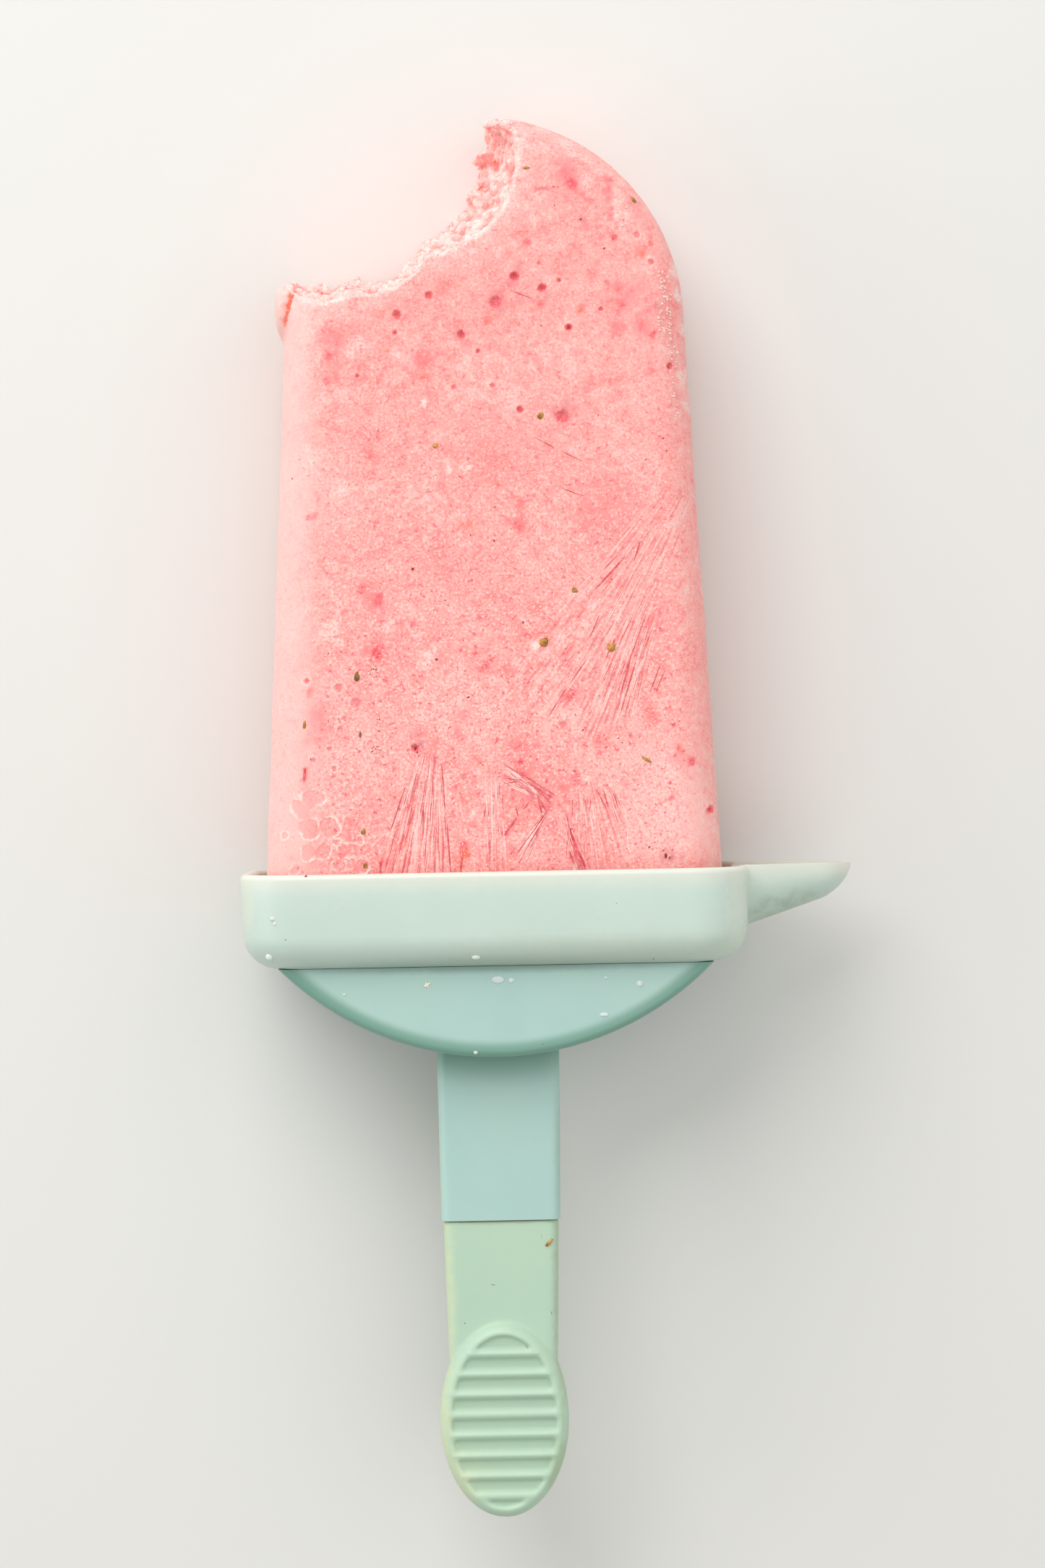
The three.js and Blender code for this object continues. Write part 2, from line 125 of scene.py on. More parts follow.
def remeshed(bm, size):
    """The solid as an even skin of squares."""
    holder = held(bm)
    skin = holder.modifiers.new("skin", "REMESH")
    skin.mode = "VOXEL"
    skin.voxel_size = size
    return applied(holder)


def rise(edge, way):
    """How far apart an edge's two ends are along X, Y or Z, as 0, 1 or 2."""
    first, second = edge.verts
    return abs(first.co[way] - second.co[way])


def rounded(bm, edges, radius, segments):
    """Rounds the edges off."""
    bmesh.ops.bevel(
        bm,
        geom=edges,
        offset=radius,
        offset_type="OFFSET",
        segments=segments,
        profile=0.5,
        affect="EDGES",
        clamp_overlap=True,
        material=-1,
    )


SURFACES = []


def on_top(x, y):
    """The highest place over X and Y of all that is made so far, in the pop's own frame."""
    above = Vector((x, y, 100))
    places = [surface.ray_cast(above, Vector((0, 0, -1)))[0] for surface in SURFACES]
    return max((place for place in places if place), key=lambda place: place.z)


def piece_of(bm, name, material, sharp_angle=None):
    """The finished piece, laid on the table and flat where it touches, riding with the whole pop."""
    SURFACES.append(BVHTree.FromBMesh(bm))
    bmesh.ops.transform(bm, matrix=LAY_DOWN, verts=bm.verts)
    for v in bm.verts:
        v.co.z = max(v.co.z, 0)
    mesh = bpy.data.meshes.new(name)
    bm.to_mesh(mesh)
    bm.free()
    mesh.materials.append(material)
    mesh.shade_smooth()
    if sharp_angle:
        mesh.set_sharp_from_angle(angle=math.radians(sharp_angle))
    piece = bpy.data.objects.new(name, mesh)
    bpy.context.scene.collection.objects.link(piece)
    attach(piece, "root")
    return piece


def put(tree, kind, inputs=None, **settings):
    """A shader node with its settings, and its inputs set to values or linked to other nodes' outputs."""
    made = tree.nodes.new("ShaderNode" + kind)
    for name, value in settings.items():
        setattr(made, name, value)
    for name, value in (inputs or {}).items():
        if isinstance(value, bpy.types.NodeSocket):
            tree.links.new(value, made.inputs[name])
        else:
            made.inputs[name].default_value = value
    return made


def maths(tree, operation, first, second=0.0, clamp=False):
    """One sum on two values."""
    return put(tree, "Math", {0: first, 1: second}, operation=operation, use_clamp=clamp).outputs[0]


def times(tree, first, second, clamp=False):
    return maths(tree, "MULTIPLY", first, second, clamp)


def eased(tree, value, low, high, to_low=0.0, to_high=1.0):
    """The value's way from low to high, eased at both ends."""
    span = {"Value": value, "From Min": low, "From Max": high, "To Min": to_low, "To Max": to_high}
    return put(tree, "MapRange", span, interpolation_type="SMOOTHSTEP").outputs["Result"]


def mixed(tree, share, first, second):
    """One colour going over to another."""
    return put(tree, "Mix", {0: share, 6: first, 7: second}, data_type="RGBA").outputs[2]


def clouds(tree, place, per_mm, detail=2.0, roughness=0.5, distortion=0.0):
    """Soft noise over the surface, with its number of swings in a millimetre."""
    settings = {
        "Vector": place,
        "Scale": per_mm,
        "Detail": detail,
        "Roughness": roughness,
        "Distortion": distortion,
    }
    return put(tree, "TexNoise", settings).outputs["Fac"]


def own_place(tree):
    """The surface point in the pop's own frame, in millimetres."""
    back = LAY_DOWN.inverted()
    mapping = {
        "Vector": put(tree, "TexCoord").outputs["Object"],
        "Location": back.translation,
        "Rotation": back.to_euler(),
        "Scale": back.to_scale(),
    }
    return put(tree, "Mapping", mapping).outputs["Vector"]


def away_from(tree, place, centre, size):
    """How far a place is from a centre, counted in the size given for each way."""
    apart = put(tree, "VectorMath", {0: place, 1: centre}, operation="SUBTRACT").outputs[0]
    ways = put(tree, "VectorMath", {0: apart, 1: size}, operation="DIVIDE").outputs[0]
    return put(tree, "VectorMath", {0: ways}, operation="LENGTH").outputs["Value"]


def new_group(name, inputs, outputs):
    """An empty node group with its sockets, and its two end nodes."""
    group = bpy.data.node_groups.new(name, "ShaderNodeTree")
    for title, kind in inputs.items():
        group.interface.new_socket(title, in_out="INPUT", socket_type="NodeSocket" + kind)
    for title, kind in outputs.items():
        group.interface.new_socket(title, in_out="OUTPUT", socket_type="NodeSocket" + kind)
    return group, group.nodes.new("NodeGroupInput"), group.nodes.new("NodeGroupOutput")


def moulded_grain():
    """The fine uneven skin of a moulding, with faint scuffs."""
    sockets = {"Place": "Vector", "Grain per mm": "Float", "Seed": "Float"}
    group, start, end = new_group("moulded_grain", sockets, {"Shade": "Float", "Height": "Float"})
    place = start.outputs["Place"]
    offset = put(group, "CombineXYZ", {"X": start.outputs["Seed"], "Y": start.outputs["Seed"]}).outputs[0]
    moved = put(group, "VectorMath", {0: place, 1: offset}, operation="ADD").outputs[0]
    fine = clouds(group, moved, start.outputs["Grain per mm"], 3.0, 0.6)
    broad = clouds(group, moved, 0.07, 3.0, 0.55)
    group.links.new(broad, end.inputs["Shade"])
    group.links.new(fine, end.inputs["Height"])
    return group


def blot():
    """A soft uneven patch round one place: 1 in its middle, 0 from its size outwards."""
    sockets = {"Place": "Vector", "Centre": "Vector", "Size": "Vector", "Wander": "Float"}
    group, start, end = new_group("blot", sockets, {"Amount": "Float"})
    given = start.outputs
    away = away_from(group, given["Place"], given["Centre"], given["Size"])
    wander = maths(group, "SUBTRACT", clouds(group, given["Place"], 0.7, 3.0, 0.6), 0.5)
    away = maths(group, "ADD", away, times(group, wander, given["Wander"]))
    group.links.new(eased(group, away, 1.0, 0.25), end.inputs["Amount"])
    return group


MOULDED_GRAIN = moulded_grain()
BLOT = blot()
# How far a patch's edge wanders. The patches are stains, and painted light and shade.
STAIN_AND_LIGHT_WANDER = 1.1
SATIN_SPREAD = (-0.04, 0.06)
GRAIN_DEPTH = 0.0001
PLASTIC_SOAK = {"Weight": 0.2, "Radius": (0.9, 1.0, 0.9), "Scale": 0.002}


def new_material(name):
    """An empty material, with its nodes and its shader."""
    material = bpy.data.materials.new(name)
    material.use_nodes = True
    return material, material.node_tree, material.node_tree.nodes["Principled BSDF"]


def soaked(shader, soak):
    """Lets light a little way into the material."""
    for name, value in soak.items():
        shader.inputs["Subsurface " + name].default_value = value


def plastic(name, colour, deep, roughness, grain, seed, stains_and_light):
    """A satin household plastic: its colour wanders a little, its skin has a fine grain, and it has patches
    laid on it: some are stains, some are painted light and shade.
    Colour and deep are the two that it wanders between, and seed moves the grain elsewhere."""
    material, tree, shader = new_material(name)
    place = own_place(tree)
    skin_inputs = {"Place": place, "Grain per mm": grain, "Seed": seed}
    skin = put(tree, "Group", skin_inputs, node_tree=MOULDED_GRAIN).outputs
    base = mixed(tree, eased(tree, skin["Shade"], 0.3, 0.75), (*colour, 1), (*deep, 1))
    for centre, size, paint, strength, *wander in stains_and_light:
        edge = wander[0] if wander else STAIN_AND_LIGHT_WANDER
        blot_inputs = {"Place": place, "Centre": centre, "Size": size, "Wander": edge}
        patch = put(tree, "Group", blot_inputs, node_tree=BLOT).outputs
        base = mixed(tree, times(tree, patch["Amount"], strength), base, (*paint, 1))
    tree.links.new(base, shader.inputs["Base Color"])
    sheen = eased(tree, skin["Height"], 0.3, 0.7, *(roughness + spread for spread in SATIN_SPREAD))
    tree.links.new(sheen, shader.inputs["Roughness"])
    bump = put(tree, "Bump", {"Height": skin["Height"], "Strength": 0.06, "Distance": GRAIN_DEPTH})
    tree.links.new(bump.outputs["Normal"], shader.inputs["Normal"])
    soaked(shader, PLASTIC_SOAK)
    return material


def face_at(bm, level):
    """The one face that lies flat at a height."""
    return next(f for f in bm.faces if all(abs(v.co.z - level) < SAME_PLACE for v in f.verts))


def tray_box():
    """The box with its rim up along Z at 0, before it is turned to face the tip."""
    bm = bmesh.new()
    size = Matrix.Diagonal((2 * TRAY_HALF_WIDTH, 2 * TRAY_HALF_DEPTH, TRAY_HEIGHT, 1))
    bmesh.ops.create_cube(bm, size=1, matrix=Matrix.Translation((0, 0, -TRAY_HEIGHT / 2)) @ size)
    foot = [v for v in bm.verts if v.co.z < -TRAY_HEIGHT / 2]
    shrink = [1 - TRAY_DRAFT * TRAY_HEIGHT / half for half in (TRAY_HALF_WIDTH, TRAY_HALF_DEPTH)]
    bmesh.ops.scale(bm, vec=(*shrink, 1), verts=foot)
    rounded(bm, [e for e in bm.edges if rise(e, 2) > SAME_PLACE], TRAY_CORNER, segments=14)
    rounded(bm, list(face_at(bm, -TRAY_HEIGHT).edges), TRAY_FOOT, segments=9)
    top = face_at(bm, 0)
    rim = list(top.edges)
    bmesh.ops.inset_region(bm, faces=[top], thickness=TRAY_WALL, use_even_offset=True)
    rim += list(top.edges)
    grown = bmesh.ops.extrude_face_region(bm, geom=[top])["geom"]
    floor_points = [v for v in grown if isinstance(v, bmesh.types.BMVert)]
    bmesh.ops.delete(bm, geom=[top], context="FACES_ONLY")
    depth = TRAY_HEIGHT - TRAY_FLOOR
    bmesh.ops.translate(bm, vec=(0, 0, -depth), verts=floor_points)
    inside = (TRAY_HALF_WIDTH - TRAY_WALL, TRAY_HALF_DEPTH - TRAY_WALL)
    shrink = [1 - TRAY_DRAFT * depth / half for half in inside]
    bmesh.ops.scale(bm, vec=(*shrink, 1), verts=floor_points)
    rounded(bm, list(face_at(bm, -depth).edges), TRAY_INSIDE, segments=5)
    rounded(bm, rim, TRAY_RIM, segments=6)
    bmesh.ops.recalc_face_normals(bm, faces=bm.faces)
    bmesh.ops.rotate(bm, cent=(0, 0, 0), matrix=Matrix.Rotation(-math.pi / 2, 3, "X"), verts=bm.verts)
    return bm


def spout_reach(at_root, slope, x):
    """How far the spout reaches down or to one side at X: it draws in and ends in a round nose."""
    into_nose = min(max(1 - (SPOUT_TIP - x) / SPOUT_NOSE, 0), 1)
    return (at_root - slope * max(x - SPOUT_ROOT, 0)) * math.sqrt(1 - into_nose**2)


def boat(start, inset, above):
    """A boat-shaped solid along X, flat on top: the spout, or the gutter cut in it."""
    bm = bmesh.new()
    side = bm.verts.new((start, 0, 1))
    bmesh.ops.spin(bm, geom=[side], cent=(start, 0, 0), axis=(1, 0, 0), angle=math.pi, steps=24)
    for v in bm.verts:
        v.co.y = -(abs(v.co.y) ** (2 / SPOUT_FULLNESS))
        v.co.z = math.copysign(abs(v.co.z) ** (2 / SPOUT_FULLNESS), v.co.z)
    section = bmesh.ops.contextual_create(bm, geom=bm.verts[:] + bm.edges[:])["faces"][0]
    size = (1.0, 1.0)
    for station in range(SPOUT_STATIONS + 1):
        x = start + (SPOUT_TIP - inset - start) * math.sin(station / SPOUT_STATIONS * math.pi / 2)
        depth = max(spout_reach(*SPOUT_DEPTH, x) - inset, SPOUT_LEAST)
        half_width = max(spout_reach(*SPOUT_HALF_WIDTH, x) - inset, SPOUT_LEAST)
        if station:
            grown = bmesh.ops.extrude_face_region(bm, geom=[section])["geom"]
            if station > 1:
                bmesh.ops.delete(bm, geom=[section], context="FACES_ONLY")
            section = next(f for f in grown if isinstance(f, bmesh.types.BMFace))
        points = list(section.verts)
        bmesh.ops.translate(bm, vec=(x - points[0].co.x, 0, 0), verts=points)
        bmesh.ops.scale(bm, vec=(1, depth / size[0], half_width / size[1]), verts=points)
        size = (depth, half_width)
    bmesh.ops.recalc_face_normals(bm, faces=bm.faces)
    if above:
        deck = [f for f in bm.faces if f.normal.y > 0.9]
        grown = bmesh.ops.extrude_face_region(bm, geom=deck)["geom"]
        raised = [v for v in grown if isinstance(v, bmesh.types.BMVert)]
        bmesh.ops.delete(bm, geom=deck, context="FACES_ONLY")
        bmesh.ops.translate(bm, vec=(0, above, 0), verts=raised)
        bmesh.ops.recalc_face_normals(bm, faces=bm.faces)
    return bm


# Pale cream on the rim's rounded top and the spout's tip: painted highlight where light falls on the thin
# edges, with a creamier tint.
PALE_RIM_HIGHLIGHT = (0.77, 0.76, 0.67)
SYRUP_STAIN = (0.50, 0.27, 0.11)
TRAY_STAINS_AND_LIGHT = (  # centre, size, colour, strength, and how far the edge wanders if not as on most
    # painted highlight along the rim
    ((0, 0.8, 0), (200, 4.4, 200), PALE_RIM_HIGHLIGHT, 0.65, 0.3),
    # painted shade in the crease along the tray's lower edge, over the shoulder
    ((0, -13.2, 13), (36, 2.4, 9), (0.34, 0.44, 0.36), 0.55, 0.3),
    ((-30.8, 0.3, -6), (3.2, 2.2, 12), SYRUP_STAIN, 0.35),
    ((31.5, -0.6, -9), (2.6, 1.6, 6), SYRUP_STAIN, 0.4),
    ((20, -11, 12), (40, 4.5, 9), (0.55, 0.64, 0.50), 0.35),
    # painted highlight down the right corner
    ((33.2, -5, 10), (3.4, 9, 9), (0.72, 0.77, 0.66), 0.5),
    ((-33.6, -3, 12), (1.6, 8, 8), (0.74, 0.76, 0.62), 0.4),
    # painted highlight on the spout's tip
    ((49, -0.8, 0), (4.5, 1.6, 8), PALE_RIM_HIGHLIGHT, 0.6),
    # painted shade on the spout's curved underside
    ((42, -9, 4), (12, 6.0, 12), (0.37, 0.49, 0.37), 0.75),
)
MINT_COLOURS = ((0.585, 0.705, 0.63), (0.555, 0.685, 0.60))
MINT = plastic("mint_plastic", *MINT_COLOURS, roughness=0.34, grain=6.0, seed=3.0, stains_and_light=TRAY_STAINS_AND_LIGHT)
tray_solid = combined(tray_box(), "UNION", boat(SPOUT_ROOT, 0, 0))
tray_solid = combined(tray_solid, "DIFFERENCE", boat(GUTTER_START, SPOUT_WALL, GUTTER_ABOVE))
tray = piece_of(tray_solid, "drip_tray", MINT, 40)
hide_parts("tray")

# ---- Handle ----
# A half-moon shoulder under the tray with the flat stem below it, both aqua plastic, moulded together.
# The shoulder's outer edge is rounded, and its top is flat against the tray's underside.

SHOULDER_RADIUS = 41.4
SHOULDER_CENTRE = 16.05
SHOULDER_HALF_THICKNESS = 11.0
SHOULDER_EDGE = 3.3
SHOULDER_GAP = 0.02
SHOULDER_TOP = -TRAY_HEIGHT - SHOULDER_GAP
STEM_INSIDE = 4
STEM_TOP = SHOULDER_CENTRE - SHOULDER_RADIUS + STEM_INSIDE
STEM_END = -48.4
STEM_HALF_WIDTHS = (8.5, 8.2)
STEM_HALF_THICKNESS = 3.5
STEM_EDGE = 1.5


def bar(top, end, half_widths, half_thickness, edge):
    """A flat tapered bar along Y with its long edges rounded."""
    bm = bmesh.new()
    size = Matrix.Diagonal((2 * half_widths[0], top - end, 2 * half_thickness, 1))
    bmesh.ops.create_cube(bm, size=1, matrix=Matrix.Translation((0, (top + end) / 2, 0)) @ size)
    end_points = [v for v in bm.verts if v.co.y < (top + end) / 2]
    bmesh.ops.scale(bm, vec=(half_widths[1] / half_widths[0], 1, 1), verts=end_points)
    rounded(bm, [e for e in bm.edges if rise(e, 1) > SAME_PLACE], edge, segments=6)
    return bm


def half_moon():
    """A thick disc cut straight across under the tray, its round edges rounded off."""
    bm = bmesh.new()
    bmesh.ops.create_cone(
        bm,
        cap_ends=True,
        segments=180,
        radius1=SHOULDER_RADIUS,
        radius2=SHOULDER_RADIUS,
        depth=2 * SHOULDER_HALF_THICKNESS,
        matrix=Matrix.Translation((0, SHOULDER_CENTRE, 0)),
    )
    cut = bmesh.ops.bisect_plane(
        bm,
        geom=bm.verts[:] + bm.edges[:] + bm.faces[:],
        plane_co=(0, SHOULDER_TOP, 0),
        plane_no=(0, 1, 0),
        clear_outer=True,
    )["geom_cut"]
    bmesh.ops.contextual_create(bm, geom=[e for e in cut if isinstance(e, bmesh.types.BMEdge)])
    bmesh.ops.recalc_face_normals(bm, faces=bm.faces)
    level = [e for e in bm.edges if rise(e, 2) < SAME_PLACE]
    outer = [e for e in level if min(v.co.y for v in e.verts) < SHOULDER_TOP - SAME_PLACE]
    rounded(bm, outer, SHOULDER_EDGE, segments=8)
    return bm


HANDLE_STAINS_AND_LIGHT = (  # as the tray's
    # painted shade in the crease under the tray's overhang, along the shoulder's top
    ((0, -12.7, 11), (36, 1.5, 6), (0.22, 0.36, 0.30), 0.7, 0.3),
    ((24, -20, 11), (11, 7, 4), (0.50, 0.66, 0.57), 0.4),
    ((-24, -20, 11), (9, 7, 4), (0.48, 0.65, 0.57), 0.3),
    # painted shade down the stem's right edge, and painted light down its left edge
    ((8.6, -40, 3), (1.4, 14, 4), (0.37, 0.53, 0.42), 0.5),
    ((-8.7, -40, 3), (1.2, 14, 4), (0.52, 0.66, 0.52), 0.4),
)
# Painted shade on the shoulder's rounded outer edge and on the stem's top beneath it.
SHOULDER_SHADE = (0.19, 0.375, 0.295, 1)
SHOULDER_SHADE_MOST = 0.95
SHOULDER_SHADE_RING = (38.8, 40.3)  # from the shoulder's centre: where it starts and is full
SHOULDER_SHADE_GONE = (46.5, 41.5)  # where it is gone on the stem, and where it starts to fade
ANY_HEIGHT = 1000


def repainted(material, amount, paint):
    """Lays one more colour over a material's own, by an amount that changes over the surface."""
    tree = material.node_tree
    colour_input = tree.nodes["Principled BSDF"].inputs["Base Color"]
    clean = colour_input.links[0].from_socket
    tree.links.new(mixed(tree, amount, clean, paint), colour_input)


def shaded_under_shoulder(material):
    """Darkens the shoulder's outer edge and the stem close under it: painted shade where the edge turns away
    from the light and the shoulder overhangs the stem.
    """
    tree = material.node_tree
    away = away_from(tree, own_place(tree), (0, SHOULDER_CENTRE, 0), (1, 1, ANY_HEIGHT))
    ring = eased(tree, away, *SHOULDER_SHADE_RING, to_high=SHOULDER_SHADE_MOST)
    repainted(material, times(tree, ring, eased(tree, away, *SHOULDER_SHADE_GONE)), SHOULDER_SHADE)


AQUA_COLOURS = ((0.44, 0.63, 0.57), (0.41, 0.61, 0.56))
AQUA = plastic("aqua_plastic", *AQUA_COLOURS, roughness=0.34, grain=6.0, seed=11.0, stains_and_light=HANDLE_STAINS_AND_LIGHT)
shaded_under_shoulder(AQUA)
stem_bar = bar(STEM_TOP, STEM_END, STEM_HALF_WIDTHS, STEM_HALF_THICKNESS, STEM_EDGE)
handle_solid = combined(half_moon(), "UNION", stem_bar)
handle = piece_of(handle_solid, "handle_shoulder_and_stem", AQUA, 40)
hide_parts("handle")

# ---- Grip ----
# A green bar pushed on the stem that ends in an oval thumb pad, of a slightly softer matt plastic. Each face
# of the pad has a shallow oval recess with eight rounded ribs across it, moulded with it.

GRIP_GAP = 0.1
GRIP_TOP = STEM_END - GRIP_GAP
GRIP_END = -72.0
GRIP_HALF_WIDTHS = (7.95, 7.4)
GRIP_HALF_THICKNESS = 3.2
GRIP_EDGE = 1.5
PAD_CENTRE = -75.95
PAD_HALF_WIDTH = 8.88
PAD_HALF_LENGTH = 13.45
PAD_HALF_THICKNESS = 4.75
PAD_EDGE = 2.1
PAD_BORDER = 1.55
PAD_RECESS = 0.65
RIB_FIRST = -66.6
RIB_SPACING = 2.8
RIB_COUNT = 8
RIB_HALF_WIDTH = 0.6
RIB_BELOW = 0.05
RIB_IN_BORDER = 0.4
GRIP_SKIN = 0.26
GRIP_SMOOTHING = 2


def oval(inset, low, high):
    """An upright oval plate between two heights."""
    bm = bmesh.new()
    size = Matrix.Diagonal((PAD_HALF_WIDTH - inset, PAD_HALF_LENGTH - inset, 1, 1))
    place = Matrix.Translation((0, PAD_CENTRE, (low + high) / 2))
    bmesh.ops.create_cone(
        bm, cap_ends=True, segments=96, radius1=1, radius2=1, depth=high - low, matrix=place @ size
    )
    return bm


def rib(y, side):
    """One rounded rib across the recess, from border to border."""
    share = math.sqrt(1 - ((y - PAD_CENTRE) / (PAD_HALF_LENGTH - PAD_BORDER)) ** 2)
    half = (PAD_HALF_WIDTH - PAD_BORDER) * share + RIB_IN_BORDER
    bm = bmesh.new()
    size = Matrix.Diagonal((1, RIB_HALF_WIDTH, PAD_RECESS - RIB_BELOW, 1))
    place = Matrix.Translation((0, y, side * (PAD_HALF_THICKNESS - PAD_RECESS)))
    across = Matrix.Rotation(math.pi / 2, 4, "Y")
    bmesh.ops.create_cone(
        bm, cap_ends=True, segments=16, radius1=1, radius2=1, depth=2 * half, matrix=place @ size @ across
    )
    return bm


def softened(bm, points, rounds):
    """Smooths the skin at the points."""
    for _ in range(rounds):
        bmesh.ops.smooth_vert(bm, verts=points, factor=0.5, use_axis_x=True, use_axis_y=True, use_axis_z=True)


def grip_solid():
    """The bar and the pad in one, with the recess and the ribs on both faces."""
    pad = oval(0, -PAD_HALF_THICKNESS, PAD_HALF_THICKNESS)
    rounded(pad, [e for e in pad.edges if rise(e, 2) < SAME_PLACE], PAD_EDGE, segments=7)
    solid = combined(pad, "UNION", bar(GRIP_TOP, GRIP_END, GRIP_HALF_WIDTHS, GRIP_HALF_THICKNESS, GRIP_EDGE))
    recess = PAD_HALF_THICKNESS - PAD_RECESS
    front = oval(PAD_BORDER, recess, PAD_HALF_THICKNESS + PAD_RECESS)
    back = oval(PAD_BORDER, -PAD_HALF_THICKNESS - PAD_RECESS, -recess)
    solid = combined(solid, "DIFFERENCE", front, back)
    ribs = [rib(RIB_FIRST - RIB_SPACING * i, side) for i in range(RIB_COUNT) for side in (1, -1)]
    solid = remeshed(combined(solid, "UNION", *ribs), GRIP_SKIN)
    softened(solid, solid.verts, GRIP_SMOOTHING)
    return solid


# The bar's and pad's left edges are painted lighter and yellower, their right edges darker olive: painted
# light and shade from the left.
LIT_YELLOW_EDGE = (0.66, 0.70, 0.42)
SHADED_OLIVE_EDGE = (0.36, 0.46, 0.25)
GRIP_STAINS_AND_LIGHT = (  # as the tray's
    # the first five: painted light on the left edges, painted shade on the right ones
    ((-8.2, -60, 2), (2.6, 22, 5), LIT_YELLOW_EDGE, 0.55),
    ((8.1, -60, 2), (1.5, 22, 5), SHADED_OLIVE_EDGE, 0.55),
    ((-7.4, -84, 3), (6.5, 7, 5), LIT_YELLOW_EDGE, 0.5),
    ((-8.6, -76, 3), (2.2, 9, 5), LIT_YELLOW_EDGE, 0.45),
    ((7.8, -83, 3), (3.4, 7, 5), SHADED_OLIVE_EDGE, 0.5),
    ((8.4, -68.6, 3.6), (0.8, 1.3, 1.5), (0.35, 0.20, 0.07), 0.8),
    ((-8.4, -67.5, 3.4), (0.9, 1.2, 1.6), (0.80, 0.78, 0.55), 0.7),
    ((0, -48.6, 3), (12, 0.5, 4), (0.40, 0.42, 0.27), 0.6),
)
# Painted shade on the floor of the pad's recesses, between the ribs.
RECESS_SHADE = (0.36, 0.52, 0.38, 1)
RECESS_SHADE_MOST = 0.55
SHADE_ABOVE_FLOOR = (0.45, 0.05)  # where the painted shade ends up the ribs, and where it is full
RECESS_SHADE_EDGE = (1.03, 0.97)  # the same outwards, in sizes of the recess


def shade_between_ribs(material):
    """Darkens the floor of the pad's recesses between the ribs: painted shade."""
    tree = material.node_tree
    place = own_place(tree)
    recess = (PAD_HALF_WIDTH - PAD_BORDER, PAD_HALF_LENGTH - PAD_BORDER, ANY_HEIGHT)
    away = away_from(tree, place, (0, PAD_CENTRE, 0), recess)
    height = maths(tree, "ABSOLUTE", put(tree, "SeparateXYZ", {0: place}).outputs["Z"])
    floor_height = PAD_HALF_THICKNESS - PAD_RECESS
    heights = [floor_height + above for above in SHADE_ABOVE_FLOOR]
    deep = eased(tree, height, *heights, to_high=RECESS_SHADE_MOST)
    repainted(material, times(tree, deep, eased(tree, away, *RECESS_SHADE_EDGE)), RECESS_SHADE)


GREEN_COLOURS = ((0.48, 0.65, 0.49), (0.46, 0.63, 0.49))
GREEN = plastic("green_plastic", *GREEN_COLOURS, roughness=0.45, grain=5.0, seed=23.0, stains_and_light=GRIP_STAINS_AND_LIGHT)
shade_between_ribs(GREEN)
grip = piece_of(grip_solid(), "grip_and_thumb_pad", GREEN)
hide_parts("grip")

# ---- Frozen pop ----
# Strawberry cream frozen in a rounded mould: a soft pink face with paler rounded sides, the left one with
# frost and painted sheen. The bite at its upper left left four round tooth marks, a crumbling icy wall and a
# thin flake of skin that has cracked away.

RIM_HALF_WIDTH = 31.2
SIDE_SLOPE = 0.0508
TIP_RADIUS = 28.3
TIP_OFFSET = 1.0
TIP_CENTRE = 74.65
POP_BASE = -10.5
POP_HALF_THICKNESS = 12.0
POP_THINNING = 0.0174
POP_EDGE = 6.0
TOOTH_MARKS = (  # place across and along, and radius, on the front face and on the back
    ((0.65, 97.05, 4.1), (-4.2, 100.6, 4.2)),
    ((-8.9, 97.05, 13.7), (-12.4, 99.4, 11.7)),
    ((-16.05, 87.4, 9.0), (-16.4, 90.9, 8.4)),
    ((-21.8, 84.2, 6.8), (-22.6, 87.6, 5.5)),
)
BITE_BEYOND = 0.04  # how far the marks go on past the faces, as a share of the thickness
HORN_ANGLES = (83, 10)  # where the horn's side starts on the first mark, in degrees
OUTSIDE = (-42, 116)
LEFT_STANDING = (  # place, half sizes and lean
    ((-27.6, 76.6, 3.0), (1.15, 3.9, 6.6), 0.03),  # the loose flake
    ((-27.25, 79.0, 4.2), (1.35, 1.4, 5.0), 0.0),  # its thick top
    ((2.5, 101.0, 9.2), (1.9, 0.65, 1.5), 0.0),  # the horn's point, at the face and below it
    ((1.8, 101.7, 3.4), (1.9, 1.15, 2.6), 0.0),
    ((-0.3, 98.9, -6.0), (1.1, 1.0, 3.2), 0.3),  # lumps on the wall
    ((-1.0, 93.6, -6.0), (1.5, 1.4, 3.4), 0.7),
)
